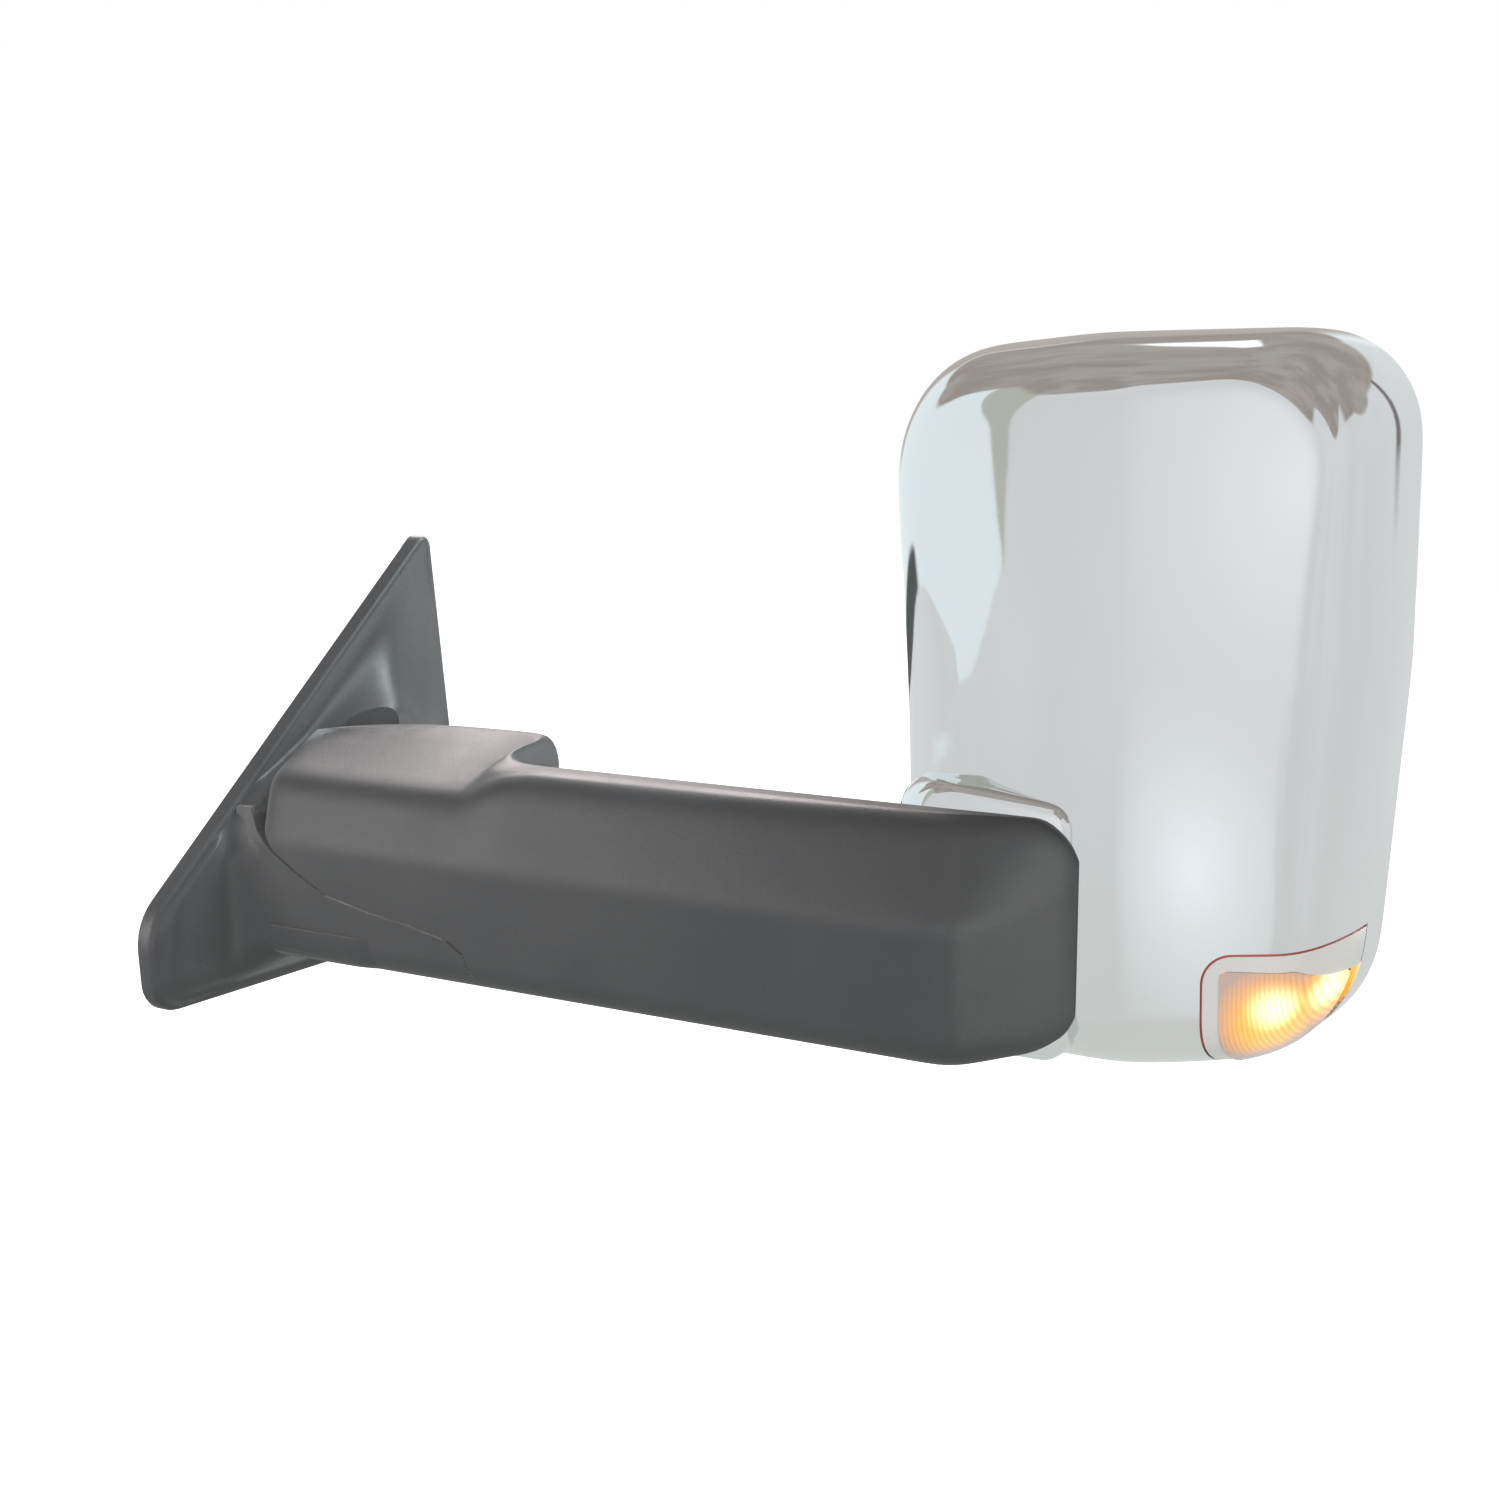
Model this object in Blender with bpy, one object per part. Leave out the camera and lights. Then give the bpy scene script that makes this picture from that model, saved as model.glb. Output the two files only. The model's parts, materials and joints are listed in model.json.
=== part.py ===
"""Flip-up towing side mirror for the left-hand door of a pickup truck, as an assembly of separate pieces.

The frame: +X points outboard, away from the door, +Y points rearward, the way the glass faces, and +Z is up.
The origin is on the door, on the back face of the mounting bracket. Sizes below are in millimetres.
At rest the arm stands straight out and the head is flipped up, the position for towing.
"""

import math

import bmesh
import bpy
from mathutils import Vector

MM = 0.001

# Joint axes.
FOLD_X, FOLD_Y = 70.0, -2.0
FLIP_X, FLIP_Z = 352.0, 14.0
BALL_X, BALL_Y, BALL_Z = 388.0, 68.0, 140.0

# Door side: a triangular sail plate, a saddle around the arm's drum and a shelf under it.
SAIL_CORNERS = [(-100, -55), (-103, -14), (90, 148), (117, -55)]
SAIL_RADII = [14, 26, 5, 12]
SAIL_DEPTH = 12.5
BRACKET_DEPTH = 6.0
DRUM_RADIUS = 50.0
DRUM_CLEARANCE = 1.5
BOWL_RADIUS = 44.5
SHELF_TOP, SHELF_BOTTOM = -22.0, -37.0
SEAM = [(-10, 30), (17, 30), (23, 20), (32, 11), (45, 3), (60, -5), (84, -10), (106, -13), (126, -17),
        (134, -22), (138, -31), (139, -70), (-10, -70)]
STUD_RADIUS = 3.0
STUD_LENGTH = 11.0
STUD_PLACES = {"upper": (62, 98), "front": (-78, -30), "rear": (88, -30)}

# Arm: a thick drum end around the fold post, then a beam that stands in front of the head.
ARM_END = 394.0
ARM_FRONT, ARM_BACK = -52.0, -10.0
ARM_BOTTOM, ARM_TOP = -37.5, 56.0
DRUM_CORNER = 12.0
DRUM_TOP_FRONT, DRUM_TOP_BACK = 46.0, 61.0
ARM_WALL = 3.0
BOSS_RADIUS = 21.0
PANEL_LEFT, PANEL_RIGHT = 154.0, 382.0

# Head: a chromed shell in front, a black bezel behind, the glass inside it.
HEAD_CORNERS = [(279.5, 226.5), (372, 234), (489, 234.5), (489.5, 112), (480, -35), (404, -50), (296, -53)]
HEAD_RADII = [50, 200, 40, 120, 53, 150, 38]
HEAD_CENTRE_X, HEAD_CENTRE_Z = 389.0, 94.0
RIM_Y, BEZEL_Y = 78.0, 92.0
FACE_Y = -6.0
CREST_X = 405.0
SHELL_WALL = 2.8
FAIRING_BOTTOM, FAIRING_LEFT, FAIRING_RIGHT = -41.0, 306.0, 388.5
FAIRING_TOP_LEFT, FAIRING_TOP_RIGHT = 65.0, 58.0
FRAME_CORNERS = [(316, 216), (476, 220), (474, 20), (440, -34), (312, -38)]
FRAME_RADII = [38, 26, 30, 30, 26]
LENS_CORNERS = [(438, -90), (438, 8.2), (530, 19.5), (530, -90)]
LENS_RADII = [2, 13, 2, 2]
LENS_BACK = 56.0
LENS_GAP = 0.8
MAIN_GLASS_LOW, MAIN_GLASS_HIGH = 60.0, 217.0
SPOTTER_LOW, SPOTTER_HIGH = -34.0, 46.0
APERTURE_MARGIN = 11.5
GLASS_MARGIN = 15.5

# Power pack that aims the glass.
BALL_RADIUS = 6.0
PLUNGER_REACH = 34.0
PLUNGER_BALL = 4.0
PACK_HALF_X, PACK_HALF_Z = 42.0, 42.0
PACK_FRONT, PACK_SPLIT, PACK_BACK = 43.0, 51.0, 60.0

CURVE_STEPS = 6
ROUND_STEPS = 28

MATERIALS = {
    "textured_black": ((0.045, 0.047, 0.048), 0.55, 0.0),
    "smooth_black": ((0.02, 0.02, 0.021), 0.35, 0.0),
    "chrome_plate": ((0.86, 0.87, 0.88), 0.05, 1.0),
    "cast_aluminium": ((0.55, 0.56, 0.57), 0.5, 1.0),
    "zinc_steel": ((0.62, 0.62, 0.6), 0.35, 1.0),
    "spring_steel": ((0.3, 0.3, 0.31), 0.35, 1.0),
    "acetal": ((0.8, 0.79, 0.74), 0.4, 0.0),
    "foam_rubber": ((0.03, 0.03, 0.03), 0.9, 0.0),
    "amber_lens": ((0.95, 0.45, 0.08), 0.1, 0.0),
    "reflector": ((0.85, 0.8, 0.7), 0.15, 1.0),
    "bulb_glass": ((1.0, 0.62, 0.12), 0.1, 0.0),
    "grey_plastic": ((0.2, 0.2, 0.21), 0.5, 0.0),
    "mirror_glass": ((0.9, 0.92, 0.93), 0.02, 1.0),
    "heater_film": ((0.35, 0.2, 0.08), 0.5, 0.0),
    "motor_can": ((0.6, 0.6, 0.58), 0.3, 1.0),
}


# ---------------------------------------------------------------- shared modelling helpers


def clear_scene():
    for obj in list(bpy.data.objects):
        bpy.data.objects.remove(obj, do_unlink=True)


def make_material(name):
    colour, roughness, metallic = MATERIALS[name]
    material = bpy.data.materials.new(name)
    material.use_nodes = True
    shader = material.node_tree.nodes["Principled BSDF"]
    shader.inputs["Base Color"].default_value = (*colour, 1.0)
    shader.inputs["Roughness"].default_value = roughness
    shader.inputs["Metallic"].default_value = metallic
    material.diffuse_color = (*colour, 1.0)
    return material


def finish(name, bm):
    """The bmesh as a linked object, closed faces pointing out."""
    bmesh.ops.recalc_face_normals(bm, faces=bm.faces)
    mesh = bpy.data.meshes.new(name)
    bm.to_mesh(mesh)
    bm.free()
    obj = bpy.data.objects.new(name, mesh)
    bpy.context.scene.collection.objects.link(obj)
    return obj


def loft(name, rings):
    """A closed skin over rings of equal point counts, capped at both ends."""
    bm = bmesh.new()
    loops = [[bm.verts.new(Vector(point) * MM) for point in ring] for ring in rings]
    for near, far in zip(loops, loops[1:]):
        for i in range(len(near)):
            j = (i + 1) % len(near)
            bm.faces.new((near[i], near[j], far[j], far[i]))
    bm.faces.new(loops[0])
    bm.faces.new(list(reversed(loops[-1])))
    return finish(name, bm)


def place(axis, height, across, up):
    """A point from its height along an axis and its two other coordinates, in X, Y, Z order."""
    if axis == "X":
        return (height, across, up)
    if axis == "Y":
        return (across, height, up)
    return (across, up, height)


def prism(name, axis, outline, start, end):
    return loft(name, [[place(axis, h, a, b) for a, b in outline] for h in (start, end)])


def circle(centre, radius, steps=ROUND_STEPS):
    turn = math.tau / steps
    return [(centre[0] + radius * math.cos(i * turn), centre[1] + radius * math.sin(i * turn))
            for i in range(steps)]


def turned(name, axis, centre, steps, around=ROUND_STEPS):
    """A solid of revolution from (height, radius) steps along its axis."""
    return loft(name, [[place(axis, h, a, b) for a, b in circle(centre, r, around)] for h, r in steps])


def rod(name, axis, centre, radius, start, end, around=ROUND_STEPS):
    return turned(name, axis, centre, [(start, radius), (end, radius)], around)


def turned_ring(name, axis, centre, profile, around=ROUND_STEPS):
    """A closed (height, radius) profile swept once around its axis."""
    bm = bmesh.new()
    loops = []
    for i in range(around):
        turn = math.tau * i / around
        loops.append([bm.verts.new(Vector(place(axis, h, centre[0] + r * math.cos(turn),
                                                centre[1] + r * math.sin(turn))) * MM)
                      for h, r in profile])
    for i, near in enumerate(loops):
        far = loops[(i + 1) % around]
        for j in range(len(profile)):
            k = (j + 1) % len(profile)
            bm.faces.new((near[j], near[k], far[k], far[j]))
    return finish(name, bm)


def washer(name, axis, centre, inner, outer, start, end, around=ROUND_STEPS):
    return turned_ring(name, axis, centre, [(start, inner), (start, outer), (end, outer), (end, inner)], around)


def block(name, low, high, chamfer=0.0):
    bm = bmesh.new()
    bmesh.ops.create_cube(bm, size=1.0)
    for vert in bm.verts:
        vert.co = Vector((high[k] if vert.co[k] > 0 else low[k]) * MM for k in range(3))
    if chamfer:
        bmesh.ops.bevel(bm, geom=bm.edges[:], offset=chamfer * MM, segments=1, affect="EDGES")
    return finish(name, bm)


def fillet(corners, radii, steps=CURVE_STEPS):
    """The corners of a convex outline rounded with arcs."""
    points = []
    count = len(corners)
    for i, radius in enumerate(radii):
        corner = Vector(corners[i])
        back = (Vector(corners[i - 1]) - corner).normalized()
        ahead = (Vector(corners[(i + 1) % count]) - corner).normalized()
        half = back.angle(ahead) / 2
        middle = corner + (back + ahead).normalized() * (radius / math.sin(half))
        arm = corner + back * (radius / math.tan(half)) - middle
        sweep = math.pi - 2 * half
        side = 1 if back.x * ahead.y - back.y * ahead.x < 0 else -1
        for k in range(steps + 1):
            turn = side * sweep * k / steps
            points.append((middle.x + arm.x * math.cos(turn) - arm.y * math.sin(turn),
                           middle.y + arm.x * math.sin(turn) + arm.y * math.cos(turn)))
    return points


def inset(corners, radii, distance, steps=CURVE_STEPS):
    """The rounded outline moved inwards, with the same number of points."""
    moved = []
    count = len(corners)
    for i in range(count):
        corner = Vector(corners[i])
        back = (Vector(corners[i - 1]) - corner).normalized()
        ahead = (Vector(corners[(i + 1) % count]) - corner).normalized()
        half = back.angle(ahead) / 2
        moved.append(tuple(corner + (back + ahead).normalized() * (distance / math.sin(half))))
    return fillet(moved, [max(radius - distance, 0.6) for radius in radii], steps)


def boolean(obj, other, operation):
    modifier = obj.modifiers.new(other.name, "BOOLEAN")
    modifier.object = other
    modifier.operation = operation
    modifier.solver = "EXACT"
    other.hide_render = True
    other.display_type = "WIRE"


def cut(obj, *cutters):
    for cutter in cutters:
        boolean(obj, cutter, "DIFFERENCE")
    return obj


def join(obj, *others):
    for other in others:
        boolean(obj, other, "UNION")
    return obj


def keep(obj, region):
    boolean(obj, region, "INTERSECT")
    return obj


def coil(name, axis, centre, mean_radius, wire, start, end, turns):
    """A compression spring with closed end turns, as a bevelled helix."""
    steps_per_turn = 14
    count = int(turns * steps_per_turn)
    curve = bpy.data.curves.new(name, "CURVE")
    curve.dimensions = "3D"
    curve.bevel_depth = wire * MM
    curve.bevel_resolution = 1
    curve.use_fill_caps = True
    spline = curve.splines.new("POLY")
    spline.points.add(count)
    for i in range(count + 1):
        share = i / count
        rise = share * share * (3 - 2 * share)
        turn = math.tau * turns * share
        height = start + wire + (end - start - 2 * wire) * rise
        point = place(axis, height, centre[0] + mean_radius * math.cos(turn),
                      centre[1] + mean_radius * math.sin(turn))
        spline.points[i].co = (*(Vector(point) * MM), 1.0)
    obj = bpy.data.objects.new(name, curve)
    bpy.context.scene.collection.objects.link(obj)
    return obj


def pan_screw(name, axis, centre, seat, tip, head_radius, shank_radius, head_height):
    """A screw with a domed head, from its seat face down to its tip. Its head stands beyond the seat."""
    way = 1 if seat > tip else -1
    steps = [(tip, shank_radius * 0.5), (tip + way * shank_radius, shank_radius), (seat, shank_radius),
             (seat, head_radius), (seat + way * head_height * 0.6, head_radius),
             (seat + way * head_height, head_radius * 0.6)]
    return turned(name, axis, centre, steps, 12)


# ---------------------------------------------------------------- pieces fixed to the door


def sail_ring(x, distance):
    return [(x, y, z) for y, z in inset(SAIL_CORNERS, SAIL_RADII, distance)]


def disc_outline(radius):
    return circle((FOLD_X, FOLD_Y), radius, 48)


def shelf_outline(distance):
    """The tongue under the drum, in X and Y: round about the fold axis, straight to the door in front and behind."""
    radius = DRUM_RADIUS - distance
    arc = [(FOLD_X + radius * math.cos(math.radians(a)), FOLD_Y + radius * math.sin(math.radians(a)))
           for a in range(-90, 136, 9)]
    return [(2 + distance, arc[0][1]), *arc, (2 + distance, arc[-1][1])]


def saddle_ring(x, front, rise, peak_y, peak_z, rear, low, shrink=0.0):
    """A section of the flare behind the drum: upright front, slope to a peak, falling away to the rear."""
    corners = [(front, low), (front, rise), (peak_y, peak_z), (rear, peak_z - 20), (rear, low)]
    return [(x, y, z) for y, z in inset(corners, [10, 16, 12, 22, 14], shrink)]


def drum_room():
    """Where the arm's end turns: round behind the fold axis, square to the front above the bowl."""
    radius = DRUM_RADIUS + DRUM_CLEARANCE
    arc = [(FOLD_X + radius * math.cos(math.radians(a)), FOLD_Y + radius * math.sin(math.radians(a)))
           for a in range(0, 181, 9)]
    upper = prism("drum_room", "Z", arc + [(FOLD_X - radius, -90), (FOLD_X + 140, -90)], SHELF_TOP - 1, 130)
    return cut(upper, prism("bowl_region", "Y", SEAM, -100, FOLD_Y))


def make_sail_cover():
    """Moulded skin: the sail plate, its flare to the drum, the bowl in front of the drum and the shelf below."""
    cover = loft("sail_cover", [sail_ring(0.5, 0), sail_ring(SAIL_DEPTH - 5, 0),
                                sail_ring(SAIL_DEPTH - 1.5, 1.6), sail_ring(SAIL_DEPTH, 5)])
    flare = [(7, -66, 2, 66, 116, 100, -50), (13, -58, 10, 54, 96, 90, -47), (19, -52, 20, 46, 84, 80, -44),
             (26, -50, 28, 40, 74, 70, -40), (34, -49, 30, 36, 68, 60, -36)]
    saddle = loft("saddle_flare", [saddle_ring(*ring) for ring in flare])
    shelf = loft("shelf_tongue", [[(x, y, z) for x, y in shelf_outline(d)] for z, d in
                                  ((SHELF_TOP, 0.0), (-30, 1.0), (-36, 6.0), (SHELF_BOTTOM, 12.0))])
    lip = loft("bowl_lip", [arm_section(x, ARM_FRONT, 0, ARM_BOTTOM, DRUM_TOP_FRONT, DRUM_TOP_BACK, 5, 0)
                            for x in (9, 150)])
    seam = prism("bowl_seam", "Y", SEAM, -100, -27)
    floor = prism("bowl_floor", "Z", disc_outline(BOWL_RADIUS), SHELF_TOP - 1.5, 40)
    hollow = [(-2, -60, 0, 62, 112, 96, -48), (9, -58, 2, 60, 108, 92, -46), (15, -50, 10, 48, 90, 82, -43)]
    saddle_hollow = loft("saddle_hollow", [saddle_ring(*ring, 4.0) for ring in hollow])
    plate_hollow = loft("sail_hollow", [sail_ring(-2, 4), sail_ring(SAIL_DEPTH - 3.2, 4)])
    shelf_hollow = prism("shelf_hollow", "Z", shelf_outline(8), SHELF_BOTTOM + 2.8, SHELF_TOP - 2.6)
    neck_way = block("neck_way", (-2, -37, SHELF_BOTTOM + 3.2), (36, 27, SHELF_TOP - 3.0))
    seat_hole = rod("seat_hole", "Z", (FOLD_X, FOLD_Y), 27.5, SHELF_TOP - 6, SHELF_TOP + 6)
    keep(lip, seam)
    join(cover, saddle, lip)
    cut(cover, drum_room(), floor)
    join(cover, shelf)
    return cut(cover, plate_hollow, saddle_hollow, shelf_hollow, neck_way, seat_hole)


def make_mount_bracket():
    """Die-cast plate on the door, with a neck out to the seat that the arm turns on."""
    bracket = loft("mount_bracket", [sail_ring(0, 7), sail_ring(BRACKET_DEPTH, 7)])
    neck = block("bracket_neck", (1, -30, -31.2), (FOLD_X, 26, -25.6), 1.0)
    seat = turned("bracket_seat", "Z", (FOLD_X, FOLD_Y),
                  [(-31.2, 38), (-25.2, 38), (-25.2, 26), (-19.6, 26)], 36)
    ribs = [block("neck_rib", (1, y, -34), (14, y + 4, 18), 0.5) for y in (-30, 22)]
    post_bore = rod("post_bore", "Z", (FOLD_X, FOLD_Y), 15.3, -45, -10)
    wire_hole = rod("wire_hole", "X", (0, 20), 11.2, -5, 20)
    windows = [prism("plate_window", "X", fillet(corners, [6, 6, 6]), -5, 20) for corners in
               (((-70, -8), (-22, 32), (-22, -8)), ((44, 44), (82, 76), (82, 10)))]
    stud_holes = [rod("stud_hole", "X", place_, STUD_RADIUS + 0.3, -5, 20, 16) for place_ in STUD_PLACES.values()]
    join(bracket, neck, seat, *ribs)
    return cut(bracket, post_bore, wire_hole, *windows, *stud_holes)


def make_door_gasket():
    """Foam strip around the bracket, pressed between the sail's edge and the door."""
    gasket = loft("door_gasket", [sail_ring(-0.5, 0.6), sail_ring(0.2, 0.6)])
    return cut(gasket, prism("gasket_hole", "X", inset(SAIL_CORNERS, SAIL_RADII, 6.4), -5, 5))


def make_studs():
    """Studs pressed in the bracket, flanged in front, threaded out through the door."""
    studs = []
    for name, (y, z) in STUD_PLACES.items():
        steps = [(-STUD_LENGTH, 2.2), (-STUD_LENGTH + 1.5, STUD_RADIUS), (BRACKET_DEPTH + 0.3, STUD_RADIUS),
                 (BRACKET_DEPTH + 0.3, 6.0), (BRACKET_DEPTH + 2.6, 6.0)]
        studs.append(turned("stud_" + name, "X", (y, z), steps, 16))
    return studs


def make_wiring_grommet():
    profile = [(0.3, 6.5), (0.3, 10.7), (BRACKET_DEPTH + 0.3, 10.7),
               (BRACKET_DEPTH + 0.3, 13.0), (BRACKET_DEPTH + 2, 12.0), (BRACKET_DEPTH + 2, 6.5)]
    return turned_ring("wiring_grommet", "X", (0, 20), profile, 20)


def make_fold_hardware():
    """The hollow fold post, its slip washer, spring and locking retainer, all on the fold axis."""
    centre = (FOLD_X, FOLD_Y)
    post = turned_ring("fold_post", "Z", centre,
                       [(-33.8, 11.5), (-33.8, 21), (-31.5, 21), (-31.5, 15), (44, 15), (46, 13.6), (46, 11.5)])
    slip = washer("fold_slip_washer", "Z", centre, 15.4, 26, -19.3, -18.4)
    spring = coil("fold_spring", "Z", centre, 20.5, 2.4, -11.7, 35.4, 6.0)
    retainer = turned_ring("fold_retainer", "Z", centre,
                           [(35.8, 15.3), (35.8, 25), (38.5, 25), (38.5, 19), (42, 19), (42, 15.3)])
    return [post, slip, spring, retainer]


# ---------------------------------------------------------------- arm


def arm_section(x, front, back, bottom, top_front, top_back, lean, shrink, corner=7.0):
    """One section of the arm across X. The front has two facets that meet at a ridge; lean lays the upper one back."""
    bottom, top_front, top_back = bottom + shrink, top_front - shrink, top_back - shrink
    soft = min(1.0, (back - front) / 34)
    corner *= soft
    ridge = bottom + 0.57 * (ARM_TOP - ARM_BOTTOM - 2 * shrink)
    upper = front + lean * soft
    shape = [
        (front + 13 * soft, bottom),
        (front + 7.5 * soft, bottom + 2),
        (front + 4 * soft, bottom + 7),
        (front + 0.6 * soft, ridge - 4),
        (front, ridge + 1),
        (upper, top_front - 8),
        (upper + 2.5 * soft, top_front - 3),
        (upper + 7 * soft, top_front),
        (max(upper + 7 * soft + 1, (front + back) / 2), (top_front + top_back) / 2 + 0.8),
        (back - corner, top_back),
        (back - corner * 0.3, top_back - corner * 0.3),
        (back, top_back - corner),
        (back, bottom + 8),
        (back - 2 * soft, bottom + 2.5),
        (back - 7 * soft, bottom),
    ]
    return [(x, y, z) for y, z in shape]


def drum_section(run, shrink):
    """A section of the drum end, run in from its inboard wall: a corner in front, round about the axis behind."""
    x = FOLD_X - DRUM_RADIUS + shrink + run
    corner = DRUM_CORNER - shrink
    into = max(0.0, FOLD_X - DRUM_RADIUS + DRUM_CORNER - x)
    front = ARM_FRONT + DRUM_CORNER - math.sqrt(max(corner * corner - into * into, 0.0))
    back = FOLD_Y + math.sqrt((DRUM_RADIUS - shrink) ** 2 - (FOLD_X - x) ** 2)
    return x, front, back, ARM_BOTTOM, DRUM_TOP_FRONT, DRUM_TOP_BACK, 5, shrink, 14


def arm_sections(shrink):
    """Sections from the drum end, past the step that the flipped head swings beside, to the bevelled tip."""
    sections = [drum_section(run, shrink) for run in (0.8, 3, 8, 16, 30)]
    top, low = ARM_TOP, ARM_BOTTOM
    rest = [
        (FOLD_X, 0, 48, low, DRUM_TOP_FRONT, DRUM_TOP_BACK, 5, 14),
        (104, 0, 47, low, DRUM_TOP_FRONT, DRUM_TOP_BACK + 0.5, 5, 14),
        (118 - shrink, 0, 43, low, DRUM_TOP_FRONT, DRUM_TOP_BACK + 1, 6, 14),
        (124.5 - shrink, 0, 37, low, DRUM_TOP_FRONT, DRUM_TOP_BACK + 1, 6, 12),
        (127.5 - shrink, 0, 28, low, DRUM_TOP_FRONT, DRUM_TOP_BACK, 6, 10),
        (129.5 - shrink, 0, 8, low, DRUM_TOP_FRONT, DRUM_TOP_BACK - 1, 6, 8),
        (133 - shrink, 0, -5, low, DRUM_TOP_FRONT + 1, top + 3, 6, 7),
        (139, 0, ARM_BACK, low, DRUM_TOP_FRONT + 4, top + 1, 6, 7),
        (150, 0, ARM_BACK, low, top - 2, top, 6, 7),
        (164, 0, ARM_BACK, low, top, top, 7, 7),
        (260, 0, ARM_BACK, low, top, top, 9, 7),
        (352, 0, ARM_BACK, low, top, top, 13, 7),
        (361, 2, ARM_BACK, low + 1, top, top, 14, 7),
        (382 - shrink * 0.5, 25, ARM_BACK, low + 5, top - 1, top - 1, 5, 7),
        (391 - shrink, 34, ARM_BACK, low + 11, top - 9, top - 9, 1, 7),
        (ARM_END - shrink, 38.5, ARM_BACK - 0.8, low + 18, top - 16, top - 16, 0.5, 7),
    ]
    if shrink:
        rest = rest[:-2]
    for x, forward, back, *heights, corner in rest:
        sections.append((x, ARM_FRONT + forward + shrink, back - shrink, *heights, shrink, corner))
    return [arm_section(*section) for section in sections]


def panel_outline(distance):
    corners = [(PANEL_LEFT, ARM_BOTTOM + 8), (PANEL_LEFT, ARM_TOP - 8), (PANEL_RIGHT, ARM_TOP - 8),
               (PANEL_RIGHT, ARM_BOTTOM + 8)]
    return inset(corners, [8, 8, 8, 8], distance)


PANEL_SCREWS = [(166, -14), (166, 36), (306, -14), (306, 36)]


def make_arm_cover():
    """Moulded arm skin, open below around the hub and behind for the rear panel."""
    cover = loft("arm_cover", arm_sections(0.0))
    hollow = loft("arm_hollow", arm_sections(ARM_WALL))
    shelf_room = prism("shelf_room", "Z", disc_outline(DRUM_RADIUS + DRUM_CLEARANCE), -60, SHELF_TOP + 0.5)
    lip_room = [prism("lip_room", "Y", [(x + gap, z + gap) for x, z in SEAM], start, end)
                for gap, start, end in ((0.7, -100, -25.5), (0.8, -30, FOLD_Y))]
    keep(lip_room[1], block("left_half", (0, -100, -100), (FOLD_X, 100, 100)))
    lip_room.append(block("left_end", (0, FOLD_Y - 5, -70), (FOLD_X - 24, 60, 31)))
    panel_opening = prism("panel_opening", "Y", panel_outline(0), -24, 10)
    return cut(cover, shelf_room, *lip_room, hollow, panel_opening)


def make_arm_rear_panel():
    panel = prism("arm_rear_panel", "Y", panel_outline(0.5), ARM_BACK - 2.8, ARM_BACK)
    boss_hole = rod("boss_hole", "Y", (FLIP_X, FLIP_Z), BOSS_RADIUS + 1.5, -30, 10)
    holes = [rod("panel_screw_hole", "Y", centre, 2.3, -30, 10, 12) for centre in PANEL_SCREWS]
    return cut(panel, boss_hole, *holes)


def make_arm_frame():
    """Die-cast arm: a hub that turns on the fold post, a channel beam and the flip boss."""
    frame = turned("arm_frame", "Z", (FOLD_X, FOLD_Y), [(-18.1, 40), (-12, 40)], 36)
    root = block("frame_root", (92, -34, -18.1), (116, 26, -2), 1.5)
    beam = block("frame_beam", (104, -32, -27), (330, -15, 44), 2)
    web = block("boss_web", (322, -30.2, -6), (352, -15, 34), 1)
    pocket = block("frame_pocket", (146, -60, -22), (318, -20, 39), 1)
    lip_way = block("lip_way", (98, -60, -60), (141, -24, -11))
    boss = rod("flip_boss", "Y", (FLIP_X, FLIP_Z), BOSS_RADIUS, -30.2, ARM_BACK + 0.8)
    collar = rod("hub_collar", "Z", (FOLD_X, FOLD_Y), 53, -40, -18.2, 36)
    drum_way = turned("spring_room", "Z", (FOLD_X, FOLD_Y), [(-11.9, 30), (80, 30)])
    post_bore = rod("hub_bore", "Z", (FOLD_X, FOLD_Y), 15.4, -40, 0)
    shaft_bore = rod("shaft_bore", "Y", (FLIP_X, FLIP_Z), 13.3, -60, 10)
    holes = [rod("frame_screw_hole", "Y", centre, 1.9, -30, 10, 12) for centre in PANEL_SCREWS]
    join(frame, root, beam)
    cut(frame, pocket, collar, drum_way, lip_way)
    join(frame, boss, web)
    return cut(frame, post_bore, shaft_bore, *holes)


def make_panel_screws():
    return [pan_screw(f"panel_screw_{i + 1}", "Y", centre, ARM_BACK + 0.3, -17.0, 3.6, 1.6, 1.8)
            for i, centre in enumerate(PANEL_SCREWS)]


def make_flip_hardware():
    """The hollow flip shaft with its flange in the arm, slip washer, spring and retainer, on the flip axis."""
    centre = (FLIP_X, FLIP_Z)
    shaft = turned_ring("flip_shaft", "Y", centre,
                        [(-33.5, 9.5), (-33.5, 17), (-30.5, 17), (-30.5, 13), (34, 13), (35.5, 12), (35.5, 9.5)])
    slip = washer("flip_slip_washer", "Y", centre, 13.5, 20.6, -8.9, -7.8)
    spring = coil("flip_spring", "Y", centre, 17.0, 2.0, -1.1, 26.6, 5.0)
    retainer = turned_ring("flip_retainer", "Y", centre,
                           [(27, 13.3), (27, 20.5), (29.5, 20.5), (29.5, 16.5), (33, 16.5), (33, 13.3)])
    return [shaft, slip, spring, retainer]


# ---------------------------------------------------------------- head


def head_outline(distance, steps=CURVE_STEPS):
    return inset(HEAD_CORNERS, HEAD_RADII, distance, steps)


def face_depth(x, z):
    """How far forward the shell's front stands: two soft flats meeting at a crest, the inboard one laid back."""
    inboard, outboard = max(0.0, CREST_X - x), max(0.0, x - CREST_X)
    rise = z - HEAD_CENTRE_Z
    return (FACE_Y + 0.05 * inboard + 0.0021 * inboard * inboard
            + 0.04 * outboard + 0.0007 * outboard * outboard + 0.0003 * rise * rise)


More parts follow.
